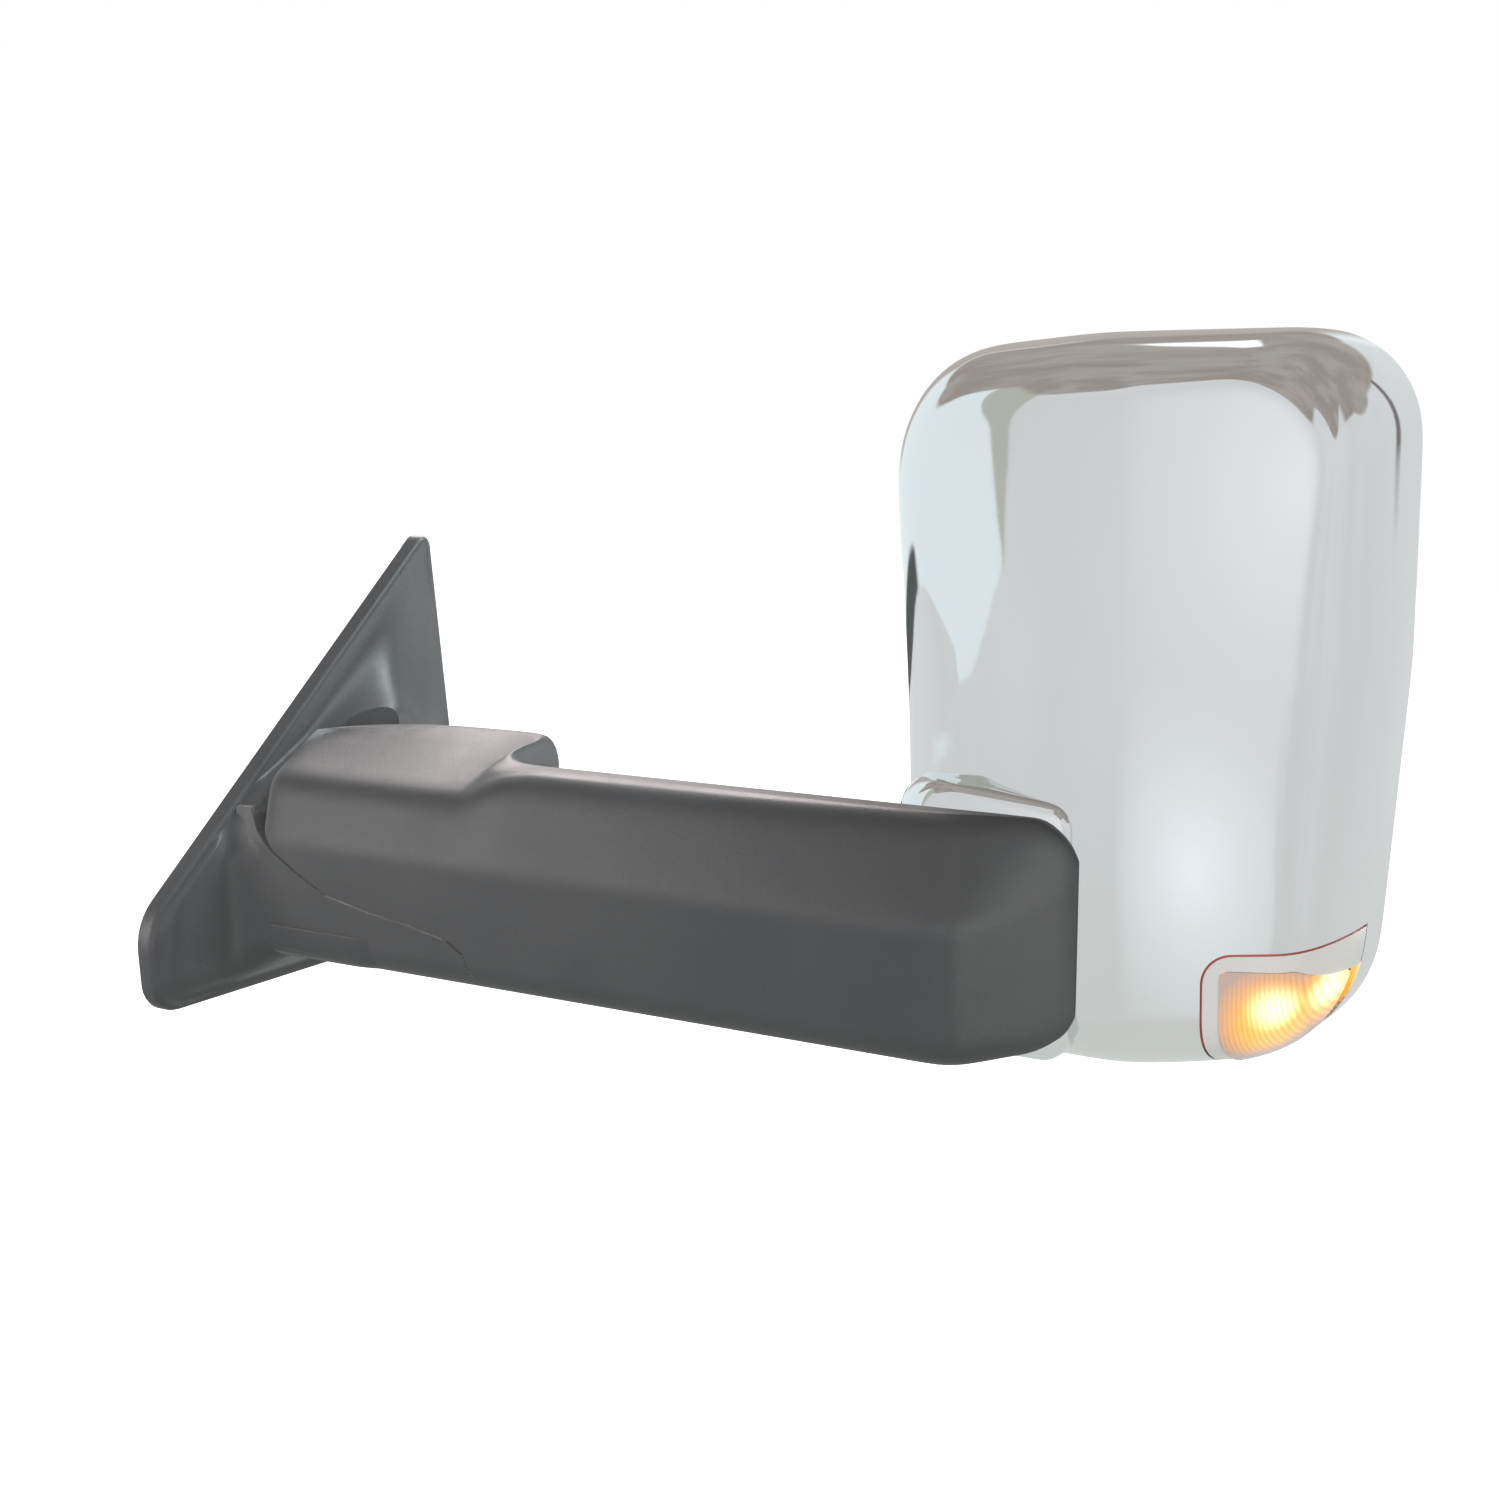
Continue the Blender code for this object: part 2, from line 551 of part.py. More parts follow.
def edge_width(x, z):
    """How wide the shell's front edge is rolled, wider on the inboard side."""
    across, up = x - HEAD_CENTRE_X, z - HEAD_CENTRE_Z
    share = across / math.hypot(across, up * 0.72)
    return 28 + (32 * share * share if share < 0 else -4 * share * share)


def dome_rings(shrink, back):
    """Rings of the head's shell from its back edge in to the middle of its face."""
    rings = []
    outline = head_outline(shrink)
    for scale in (0.0, 0.008, 0.025, 0.055, 0.1, 0.16, 0.24, 0.35, 0.5, 0.7, 0.88):
        ring = []
        for x0, z0 in outline:
            x = x0 + (HEAD_CENTRE_X - x0) * scale
            z = z0 + (HEAD_CENTRE_Z - z0) * scale
            moved = scale * math.hypot(x0 - HEAD_CENTRE_X, z0 - HEAD_CENTRE_Z)
            part = min(1.0, moved / edge_width(x0, z0))
            roll = (1 - (1 - part) ** 2.6) ** (1 / 2.6)
            y = RIM_Y + (face_depth(x, z) + shrink - RIM_Y) * roll
            ring.append((x, back if scale == 0 else y, z))
        rings.append(ring)
    return rings


def fairing(name, shrink, back):
    """The boss that reaches forward from the shell to meet the arm at the flip pivot."""
    rings = []
    for y, left, distance in ((FACE_Y - 0.5, 18, 3.5), (FACE_Y + 1.5, 14, 1.0), (2, 8, 0), (14, 1, 0), (back, -4, 0)):
        corners = [(FAIRING_LEFT + left, FAIRING_BOTTOM), (FAIRING_LEFT + left, FAIRING_TOP_LEFT),
                   (FAIRING_RIGHT, FAIRING_TOP_RIGHT), (FAIRING_RIGHT, FAIRING_BOTTOM)]
        rings.append([(x, y if y == back else y + shrink, z)
                      for x, z in inset(corners, [26, 18, 10, 12], distance + shrink)])
    return loft(name, rings)


def make_chrome_cover():
    """The chromed front shell with its pivot fairing, cut away for the turn signal."""
    cover = loft("chrome_cover", dome_rings(0.0, RIM_Y))
    hollow = loft("dome_hollow", dome_rings(SHELL_WALL, RIM_Y + 3))
    fairing_hollow = fairing("fairing_hollow", SHELL_WALL, 48)
    hub_hole = rod("hub_hole", "Y", (FLIP_X, FLIP_Z), 26.5, -30, 4)
    lens_opening = prism("lens_opening", "Y", fillet(LENS_CORNERS, LENS_RADII), -60, LENS_BACK)
    join(cover, fairing("pivot_fairing", 0.0, 45))
    return cut(cover, hollow, fairing_hollow, hub_hole, lens_opening)


def make_turn_signal():
    """Lens flush in the shell's corner, the tray behind it and two wedge bulbs."""
    lens = loft("turn_signal_lens", dome_rings(0.0, RIM_Y))
    region = prism("lens_region", "Y", inset(LENS_CORNERS, LENS_RADII, LENS_GAP), -60, LENS_BACK - LENS_GAP)
    keep(lens, region)
    cut(lens, loft("lens_hollow", dome_rings(SHELL_WALL, RIM_Y + 3)))

    housing = loft("lamp_housing", dome_rings(SHELL_WALL + 0.6, RIM_Y + 3))
    keep(housing, prism("lamp_region", "Y", inset(LENS_CORNERS, LENS_RADII, 3), -60, 52))
    cut(housing, prism("lamp_hollow", "Y", inset(LENS_CORNERS, LENS_RADII, 5), -80, 49.5))
    bulbs = []
    for name, x, z in (("inner", 450, -13), ("outer", 463, -10)):
        steps = [(49.2, 4.5), (44, 4.5), (44, 3.2), (36, 4.6), (30, 4.8), (25, 3.4), (23, 1.4)]
        bulbs.append(turned("signal_bulb_" + name, "Y", (x, z), steps, 16))
    return [lens, housing, *bulbs]


def edge_x(z, margin):
    """Left and right X of the head's straight sides at a height, moved in by a margin."""
    (top_x, top_z), (low_x, low_z), (knee_x, knee_z) = HEAD_CORNERS[0], HEAD_CORNERS[-1], HEAD_CORNERS[3]
    left = low_x + (top_x - low_x) * (z - low_z) / (top_z - low_z)
    right = knee_x - 0.05 * max(0.0, knee_z - z)
    return left + margin, right - margin


def window(low, high, margin, radii, distance=0.0):
    """A rounded opening or glass outline between two heights, margin in from the head's sides."""
    (low_left, low_right), (high_left, high_right) = edge_x(low, margin), edge_x(high, margin)
    corners = [(high_left, high), (high_right, high), (low_right, low), (low_left, low)]
    return inset(corners, radii, distance)


MAIN_RADII = [38, 24, 9, 9]
SPOTTER_RADII = [9, 9, 56, 28]


def make_bezel():
    """Black rear moulding: a lip around the glass and a sleeve in to the head for each opening."""
    bezel = loft("bezel", [[(x, y, z) for x, z in head_outline(d)] for y, d in
                           ((RIM_Y + 0.4, 2.0), (86, 2.6), (90, 4.4), (BEZEL_Y, 7.5))])
    hollow = prism("bezel_hollow", "Y", head_outline(5.2), RIM_Y - 5, 88.8)
    main = (MAIN_GLASS_LOW - 4, MAIN_GLASS_HIGH + 4, APERTURE_MARGIN)
    spot = (SPOTTER_LOW - 2, SPOTTER_HIGH + 2, APERTURE_MARGIN)
    sleeves = [prism("sleeve_" + str(radii[0]), "Y", window(*size, radii, -2.4), 60, 90)
               for size, radii in ((main, MAIN_RADII), (spot, SPOTTER_RADII))]
    openings = [prism("opening_" + str(radii[0]), "Y", window(*size, radii), 50, 100)
                for size, radii in ((main, MAIN_RADII), (spot, SPOTTER_RADII))]
    cut(bezel, hollow)
    join(bezel, *sleeves)
    return cut(bezel, *openings)


def make_head_frame():
    """Moulded carrier inside the head: a hub on the flip shaft and a plate that holds everything else."""
    frame = prism("head_frame", "Y", fillet(FRAME_CORNERS, FRAME_RADII), 36, 40)
    centre = (FLIP_X, FLIP_Z)
    hub = turned("head_hub", "Y", centre, [(-7.5, 25), (39, 25)])
    pads = [rod("pack_pad", "Y", pad, 6, 38, PACK_FRONT - 0.3, 14) for pad in PACK_SCREWS]
    hub_room = rod("hub_room", "Y", centre, 21.4, -1.4, 60)
    hub_bore = rod("head_hub_bore", "Y", centre, 13.3, -20, 10)
    lamp_notch = block("lamp_notch", (434, 30, -80), (520, 50, 16))
    low_window = prism("low_window", "Y", fillet([(388, 2), (388, 50), (452, 50), (428, 2)], [6] * 4), 30, 50)
    side_windows = [prism("side_window", "Y", fillet(corners, [6] * 4), 30, 50) for corners in
                    ([(304, 88), (304, 196), (332, 196), (332, 88)], [(444, 88), (444, 196), (468, 196), (468, 88)],
                     [(350, 196), (356, 216), (420, 216), (426, 196)], [(350, 64), (350, 82), (426, 82), (426, 64)])]
    pilot_holes = [rod("pack_pilot", "Y", pad, 1.9, 30, 50, 12) for pad in PACK_SCREWS]
    join(frame, hub, *pads)
    return cut(frame, hub_room, hub_bore, lamp_notch, low_window, *side_windows, *pilot_holes)


# ---------------------------------------------------------------- power pack and glass

PACK_SCREWS = [(BALL_X - 36, BALL_Z + 36), (BALL_X + 36, BALL_Z + 36), (BALL_X, BALL_Z - 47)]


def pack_outline(distance):
    corners = [(BALL_X + x, BALL_Z + z) for x, z in
               ((-PACK_HALF_X, PACK_HALF_Z), (PACK_HALF_X, PACK_HALF_Z), (PACK_HALF_X, -20),
                (PACK_HALF_X * 0.7, -PACK_HALF_Z - 12), (-PACK_HALF_X * 0.7, -PACK_HALF_Z - 12), (-PACK_HALF_X, -20))]
    return inset(corners, [12, 12, 16, 10, 10, 16], distance, 4)


PLUNGER_PLACES = {"tilt": (BALL_X, BALL_Z - PLUNGER_REACH), "pan": (BALL_X + PLUNGER_REACH, BALL_Z)}


def make_power_pack():
    """Two-part case with a motor for each direction, and the ball that the glass swings on."""
    base = prism("actuator_base", "Y", pack_outline(0), PACK_FRONT, PACK_SPLIT - 0.2)
    cut(base, prism("base_hollow", "Y", pack_outline(2), PACK_FRONT + 2, PACK_SPLIT + 5))
    posts = [rod("base_post", "Y", pad, 4.6, PACK_FRONT + 1, PACK_SPLIT - 0.2, 14) for pad in PACK_SCREWS]
    join(base, *posts)
    cut(base, *[rod("base_screw_hole", "Y", pad, 2.2, 30, 70, 12) for pad in PACK_SCREWS])

    lid = prism("actuator_cover", "Y", pack_outline(0), PACK_SPLIT + 0.2, PACK_BACK)
    cut(lid, prism("lid_hollow", "Y", pack_outline(2), PACK_SPLIT - 5, PACK_BACK - 2))
    lid_posts = [rod("lid_post", "Y", pad, 4.6, PACK_SPLIT + 0.2, PACK_BACK - 1, 14) for pad in PACK_SCREWS]
    join(lid, *lid_posts)
    holes = [rod("lid_screw_hole", "Y", pad, 2.2, 30, 70, 12) for pad in PACK_SCREWS]
    plunger_holes = [rod("plunger_way", "Y", spot, 4.4, 30, 70, 18) for spot in PLUNGER_PLACES.values()]
    cut(lid, *holes, *plunger_holes, rod("ball_seat", "Y", (BALL_X, BALL_Z), 7.6, 30, 70, 18))

    stud = turned("ball_stud", "Y", (BALL_X, BALL_Z),
                  [(47, 9), (PACK_BACK - 2.4, 9), (PACK_BACK - 2.4, 7), (PACK_BACK + 0.6, 7), (PACK_BACK + 1.2, 3.4),
                   *[(BALL_Y - BALL_RADIUS * math.cos(math.radians(a)), BALL_RADIUS * math.sin(math.radians(a)))
                     for a in (34, 55, 75, 90, 110, 130, 150, 168)]], 20)
    screws = [pan_screw(f"actuator_screw_{i + 1}", "Y", pad, PACK_BACK + 0.3, 37.5, 3.8, 1.6, 1.8)
              for i, pad in enumerate(PACK_SCREWS)]
    motors = [turned(name + "_motor", axis, centre, [(start, 2.0), (start + 6, 2.0), (start + 6, 5.6),
                                                     (start + 26, 5.6), (start + 26, 3), (start + 28, 3)], 16)
              for name, axis, centre, start in (("tilt", "X", (51.6, BALL_Z - 22), BALL_X - 29),
                                                ("pan", "Z", (BALL_X + 20, 51.6), BALL_Z + 6))]
    return [base, lid, stud, *screws, *motors]


def make_plungers():
    """Push rods with a ball end, one for each direction."""
    plungers = []
    for name, spot in PLUNGER_PLACES.items():
        ball = [(BALL_Y - PLUNGER_BALL * math.cos(math.radians(a)), PLUNGER_BALL * math.sin(math.radians(a)))
                for a in (40, 65, 90, 115, 140, 165)]
        plungers.append(turned(name + "_plunger", "Y", spot,
                               [(51.6, 3.6), (PACK_BACK + 0.5, 3.6), (PACK_BACK + 1.2, 2.4), *ball], 16))
    return plungers


def sphere_band(radius, low, high, steps=6):
    """(height, radius) points of a sphere's surface about the ball's centre, between two heights."""
    points = []
    for i in range(steps + 1):
        height = low + (high - low) * i / steps
        points.append((BALL_Y + height, math.sqrt(radius * radius - height * height)))
    return points


def make_gimbal():
    """Ring between ball and socket that lets the glass swing both ways and not spin."""
    profile = sphere_band(BALL_RADIUS + 0.4, -4, 3.2) + list(reversed(sphere_band(BALL_RADIUS + 2.6, -4, 3.2)))
    return turned_ring("pivot_gimbal", "Y", (BALL_X, BALL_Z), profile, 24)


def main_glass_outline(distance=0.0):
    return window(MAIN_GLASS_LOW, MAIN_GLASS_HIGH, GLASS_MARGIN, MAIN_RADII, distance)


def make_glass():
    """The carrier plate with its sockets, the heater film and the flat main glass."""
    carrier = prism("glass_carrier", "Y", main_glass_outline(1.5), 78.6, 81.2)
    socket = rod("pivot_socket", "Y", (BALL_X, BALL_Z), 12.5, BALL_Y - 3, 79.5, 24)
    cups = [rod("plunger_cup", "Y", spot, 7.6, BALL_Y - 0.5, 79.5, 18) for spot in PLUNGER_PLACES.values()]
    hollow_heights = [(BALL_Y - 8, 8.6)] + sphere_band(BALL_RADIUS + 3.0, -3.0, 8.6, 8)
    socket_hollow = turned("socket_hollow", "Y", (BALL_X, BALL_Z), hollow_heights, 24)
    cup_hollows = [rod("cup_hollow", "Y", spot, PLUNGER_BALL + 1.2, BALL_Y - 12, BALL_Y + PLUNGER_BALL + 2, 18)
                   for spot in PLUNGER_PLACES.values()]
    join(carrier, socket, *cups)
    cut(carrier, socket_hollow, *cup_hollows)
    heater = prism("heater_pad", "Y", main_glass_outline(8), 81.5, 82.2)
    glass = prism("main_glass", "Y", main_glass_outline(), 82.5, 85.3)
    return [carrier, heater, glass]


def make_spotter():
    """The small wide-angle glass below the main one: a shallow dome on its own plate."""
    shape = (SPOTTER_LOW + 2, SPOTTER_HIGH - 2, APERTURE_MARGIN + 1.6)
    carrier = prism("spotter_carrier", "Y", window(*shape, SPOTTER_RADII, 1.0), 74, 77)
    outline = window(*shape, SPOTTER_RADII)
    middle = Vector((sum(x for x, _ in outline), sum(z for _, z in outline))) / len(outline)
    rings = [[(x, 77.4, z) for x, z in outline]]
    for scale in (0.0, 0.25, 0.5, 0.75):
        bulge = 4.2 * (1 - (1 - scale) ** 2)
        rings.append([(x + (middle.x - x) * scale, 79.8 + bulge, z + (middle.y - z) * scale) for x, z in outline])
    return [carrier, loft("spotter_glass", rings)]


# ---------------------------------------------------------------- assembly


def axis_empty(name, x, y, z, parent=None):
    empty = bpy.data.objects.new(name, None)
    bpy.context.scene.collection.objects.link(empty)
    empty.location = Vector((x, y, z)) * MM
    bpy.context.view_layer.update()
    if parent:
        world = empty.matrix_world.copy()
        empty.parent = parent
        empty.matrix_parent_inverse = parent.matrix_world.inverted()
        empty.matrix_world = world
        bpy.context.view_layer.update()
    return empty


def attach(pieces, empty, material):
    """Parents pieces to their joint's empty, where they stay in place, and gives them a material."""
    for obj in pieces:
        if empty:
            obj.parent = empty
            obj.matrix_parent_inverse = empty.matrix_world.inverted()
        obj.data.materials.clear()
        obj.data.materials.append(material)
        if obj.type == "MESH":
            obj.data.shade_smooth()
            obj.data.set_sharp_from_angle(angle=math.radians(32))


def main():
    clear_scene()
    finishes = {name: make_material(name) for name in MATERIALS}
    fold = axis_empty("fold_axis", FOLD_X, FOLD_Y, 0)
    flip = axis_empty("flip_axis", FLIP_X, 0, FLIP_Z, fold)
    tilt = axis_empty("glass_tilt_axis", BALL_X, BALL_Y, BALL_Z, flip)
    pan = axis_empty("glass_pan_axis", BALL_X, BALL_Y, BALL_Z, tilt)

    attach([make_sail_cover()], None, finishes["textured_black"])
    attach([make_mount_bracket()], None, finishes["cast_aluminium"])
    attach([make_door_gasket(), make_wiring_grommet()], None, finishes["foam_rubber"])
    attach(make_studs(), None, finishes["zinc_steel"])
    post, fold_slip, fold_spring, fold_retainer = make_fold_hardware()
    attach([post, fold_retainer], None, finishes["zinc_steel"])
    attach([fold_slip], None, finishes["acetal"])
    attach([fold_spring], None, finishes["spring_steel"])

    attach([make_arm_cover(), make_arm_rear_panel()], fold, finishes["textured_black"])
    attach([make_arm_frame()], fold, finishes["cast_aluminium"])
    attach(make_panel_screws(), fold, finishes["zinc_steel"])
    shaft, flip_slip, flip_spring, flip_retainer = make_flip_hardware()
    attach([shaft, flip_retainer], fold, finishes["zinc_steel"])
    attach([flip_slip], fold, finishes["acetal"])
    attach([flip_spring], fold, finishes["spring_steel"])

    attach([make_chrome_cover()], flip, finishes["chrome_plate"])
    lens, housing, *bulbs = make_turn_signal()
    attach([lens], flip, finishes["amber_lens"])
    attach([housing], flip, finishes["reflector"])
    attach(bulbs, flip, finishes["bulb_glass"])
    attach([make_bezel()], flip, finishes["smooth_black"])
    attach([make_head_frame()], flip, finishes["grey_plastic"])
    base, lid, stud, *rest = make_power_pack()
    attach([base, lid], flip, finishes["smooth_black"])
    attach([stud, *rest[:len(PACK_SCREWS)]], flip, finishes["zinc_steel"])
    attach(rest[len(PACK_SCREWS):], flip, finishes["motor_can"])
    spotter_carrier, spotter_glass = make_spotter()
    attach([spotter_carrier], flip, finishes["grey_plastic"])
    attach([spotter_glass], flip, finishes["mirror_glass"])

    attach([make_gimbal()], tilt, finishes["acetal"])
    carrier, heater, glass = make_glass()
    attach([carrier], pan, finishes["grey_plastic"])
    attach([heater], pan, finishes["heater_film"])
    attach([glass], pan, finishes["mirror_glass"])
    for plunger, (x, z) in zip(make_plungers(), PLUNGER_PLACES.values()):
        attach([plunger], axis_empty(plunger.name + "_axis", x, BALL_Y, z, flip), finishes["acetal"])


main()
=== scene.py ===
"""The looks of a flip-up towing side mirror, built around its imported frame.

The skins are drawn section by section and cut as moulds are, in millimetres, in the frame of the CAD:
+X points outboard, away from the door, +Y rearward, the way the glass faces, and +Z up.
"""

import json
import math

import bmesh
import bpy
import numpy as np
from bpy.props import FloatProperty, FloatVectorProperty, IntProperty, PointerProperty
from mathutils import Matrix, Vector

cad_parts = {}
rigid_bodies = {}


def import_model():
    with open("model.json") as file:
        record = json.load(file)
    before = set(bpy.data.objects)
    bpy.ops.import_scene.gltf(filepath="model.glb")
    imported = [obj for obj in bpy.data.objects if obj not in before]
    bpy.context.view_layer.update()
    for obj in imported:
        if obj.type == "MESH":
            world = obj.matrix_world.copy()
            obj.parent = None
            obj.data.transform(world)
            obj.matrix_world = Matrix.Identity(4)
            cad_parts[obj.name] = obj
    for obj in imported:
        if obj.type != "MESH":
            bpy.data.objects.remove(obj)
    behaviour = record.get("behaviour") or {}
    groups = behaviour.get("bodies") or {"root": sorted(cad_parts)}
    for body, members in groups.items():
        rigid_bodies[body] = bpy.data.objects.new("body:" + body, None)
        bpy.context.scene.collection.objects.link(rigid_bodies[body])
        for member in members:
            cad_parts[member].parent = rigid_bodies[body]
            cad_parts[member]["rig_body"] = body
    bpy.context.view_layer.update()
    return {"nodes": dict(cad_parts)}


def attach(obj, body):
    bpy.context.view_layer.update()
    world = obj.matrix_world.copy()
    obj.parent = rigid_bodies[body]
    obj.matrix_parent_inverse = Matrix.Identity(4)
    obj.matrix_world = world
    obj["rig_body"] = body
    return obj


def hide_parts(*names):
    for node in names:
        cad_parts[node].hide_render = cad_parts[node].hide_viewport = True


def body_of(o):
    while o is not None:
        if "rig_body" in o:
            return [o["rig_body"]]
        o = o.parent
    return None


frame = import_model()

bl_info = {
    "name": "Towing Mirror Looks",
    "version": (1, 0, 0),
    "blender": (4, 5, 0),
    "location": "3D View > Sidebar > Mirror",
    "description": "Models the visible skins of a flip-up towing mirror and gives every piece its finish",
    "category": "Object",
}

MM = 0.001

FOLD_X, FOLD_Y = 70.0, -2.0
FLIP_X, FLIP_Z = 352.0, 14.0

SAIL_CORNERS = [(-100, -55), (-103, -14), (90, 148), (117, -55)]
SAIL_RADII = [14, 26, 5, 12]
EDGE_HEIGHT, PAD_HEIGHT = 8.4, 12.4
PAD_CORNERS = [(-98, -50), (-98, -10), (-73, 18), (-58, 21), (-49, 14), (-30, -3), (-15, -20), (2, -50)]
FLARE = [(7, -66, 2, 66, 116, 100, -50), (13, -58, 10, 54, 96, 90, -47), (19, -52, 20, 46, 84, 80, -44),
         (26, -50, 28, 40, 74, 70, -40), (34, -49, 30, 36, 68, 60, -36)]
DRUM_RADIUS, DRUM_CLEARANCE = 50.0, 1.5
BOWL_RADIUS = 44.5
SHELF_TOP, SHELF_BOTTOM = -22.0, -37.0
SEAM = [(-10, 30), (17, 30), (23, 20), (32, 11), (45, 3), (60, -5), (84, -10), (106, -13), (126, -17),
        (134, -22), (138, -31), (139, -70), (-10, -70)]

ARM_END = 394.0
ARM_FRONT, ARM_BACK = -52.0, -10.0
ARM_BOTTOM, ARM_TOP = -37.5, 56.0
DRUM_CORNER = 12.0
DRUM_TOP_FRONT, DRUM_TOP_BACK = 46.0, 61.0
BOSS_RADIUS = 21.0
PANEL_LEFT, PANEL_RIGHT = 154.0, 382.0
PANEL_SCREWS = [(166, -14), (166, 36), (306, -14), (306, 36)]

HEAD_CORNERS = [(279.5, 226.5), (372, 234), (489, 234.5), (489.5, 112), (480, -35), (404, -50), (296, -53)]
HEAD_RADII = [50, 200, 40, 120, 53, 150, 38]
HEAD_MIDDLE = (389.0, 94.0)
RIM_Y, BEZEL_Y = 78.0, 92.0
FACE_Y, CREST_X = -6.0, 405.0
FAIRING_BOTTOM, FAIRING_LEFT, FAIRING_RIGHT = -41.0, 306.0, 388.5
FAIRING_TOP_LEFT, FAIRING_TOP_RIGHT = 65.0, 58.0
LENS_CORNERS = [(438, -90), (438, 8.2), (530, 19.5), (530, -90)]
LENS_RADII = [2, 13, 2, 2]
WINDOW_CORNERS = [(445, -90), (445, 2.8), (471, 4.8), (482, -2.5), (496, -12), (496, -90)]
WINDOW_RADII = [1, 3.5, 4, 2, 2, 1]
LENS_BACK = 56.0
PANE_LEFT, PANE_TOP = 436.0, 30.0
HUB_RADIUS, SEAT_RADIUS = 26.5, 27.5
DOME_REACH = 0.46
MAIN_GLASS_LOW, MAIN_GLASS_HIGH = 60.0, 217.0
SPOTTER_LOW, SPOTTER_HIGH = -34.0, 46.0
APERTURE_MARGIN, GLASS_MARGIN = 11.5, 15.5
MAIN_RADII, SPOTTER_RADII = [38, 24, 9, 9], [9, 9, 56, 28]
SPOTTER_RIM_Y, SPOTTER_BULGE = 79.7, 4.2

FLOOR_HEIGHT = -0.42
CAMERA_PLACE = (0.686, -0.732, 0.203)
CAMERA_TURN, CAMERA_RISE = 31, 9
CAMERA_LENS, SENSOR_WIDTH = 51.2, 36.0
# name: place, aim, size, power, colour
LAMPS = (
    ("back_left", (-0.45, 0.76, 0.80), (0.08, 0.0, 0.05), (0.40, 0.30), 9.5, (1.0, 0.90, 0.89)),
    ("overhead", (0.42, 0.42, 0.98), (0.02, 0.0, 0.10), (0.45, 0.35), 15.0, (0.88, 0.97, 1.0)),
    ("back_right", (0.60, 0.80, 0.02), (0.02, 0.0, 0.02), (0.50, 0.40), 2.6, (0.95, 0.99, 1.0)),
    ("front_left", (-0.20, -0.48, 0.10), (0.08, -0.04, 0.02), (0.25, 0.25), 1.6, (1.0, 0.97, 0.98)),
    ("front_soft", (0.70, -1.20, 0.90), (0.30, 0.0, 0.05), (0.90, 0.60), 2.0, (1.0, 1.0, 1.0)),
    ("front_low", (0.46, -0.95, 0.06), (0.37, -0.05, 0.01), (0.14, 0.30), 1.2, (0.95, 0.99, 1.0)),
    ("right_side", (1.15, -0.45, -0.06), (0.38, -0.03, 0.0), (0.40, 0.40), 3.0, (1.0, 1.0, 0.98)),
)


# ---------------------------------------------------------------- settings


class MirrorSizes(bpy.types.PropertyGroup):
    shell_wall: FloatProperty(name="Shell wall", description="Thickness of the chromed cover",
                              default=2.8 * MM, min=0.001, unit="LENGTH")
    arm_wall: FloatProperty(name="Arm wall", description="Thickness of the arm's moulded skin",
                            default=3.0 * MM, min=0.001, unit="LENGTH")
    rib_pitch: FloatProperty(name="Rib pitch", description="Distance from rib to rib in the signal lens",
                             default=1.65 * MM, min=0.0005, unit="LENGTH")
    rib_depth: FloatProperty(name="Rib depth", description="Height of the signal lens's ribs",
                             default=0.22 * MM, min=0.0, unit="LENGTH")
    edge_round: FloatProperty(name="Edge round", description="Radius on the edges of the moulded rear parts",
                              default=0.8 * MM, min=0.0001, unit="LENGTH")
    around: IntProperty(name="Points around", description="How finely the head's outline is drawn",
                        default=256, min=64, max=512)


class MirrorColours(bpy.types.PropertyGroup):
    plastic: FloatVectorProperty(name="Textured plastic", description="Colour of the sail and the arm",
                                 subtype="COLOR", size=4, min=0, max=1, default=(0.034, 0.035, 0.037, 1))
    chrome: FloatVectorProperty(name="Chrome", description="Colour of the plated cover",
                                subtype="COLOR", size=4, min=0, max=1, default=(0.80, 0.81, 0.82, 1))
    lamp: FloatVectorProperty(name="Lamp", description="Colour of the lit signal",
                              subtype="COLOR", size=4, min=0, max=1, default=(1.0, 0.42, 0.06, 1))
    glass: FloatVectorProperty(name="Mirror glass", description="Colour of the silvered glass",
                               subtype="COLOR", size=4, min=0, max=1, default=(0.86, 0.89, 0.91, 1))


# ---------------------------------------------------------------- selecting and shaping


def deselect_all():
    if bpy.context.object and bpy.context.object.mode != "OBJECT":
        bpy.ops.object.mode_set(mode="OBJECT")
    bpy.ops.object.select_all(action="DESELECT")


def select_only(obj):
    deselect_all()
    obj.select_set(True)
    bpy.context.view_layer.objects.active = obj


def edit(obj):
    """Opens a piece in edit mode with nothing selected."""
    select_only(obj)
    bpy.ops.object.mode_set(mode="EDIT")
    bpy.ops.mesh.select_all(action="DESELECT")
    bm = bmesh.from_edit_mesh(obj.data)
    bm.verts.ensure_lookup_table()
    return bm


def put(bm, loop, ring):
    for i, point in zip(loop, ring):
        bm.verts[i].co = Vector(point) * MM


def fill_loop(obj, loop, grid=False):
    """Closes one end loop with a face, or with a grid of faces."""
    bm = edit(obj)
    for i in loop:
        bm.verts[i].select = True
    bm.select_flush_mode()
    for one in bm.edges:
        one.select = one.verts[0].select and one.verts[1].select
    bmesh.update_edit_mesh(obj.data)
    if grid:
        bpy.ops.mesh.fill_grid(span=len(loop) // 4)
    else:
        bpy.ops.mesh.edge_face_add()
    bpy.ops.object.mode_set(mode="OBJECT")


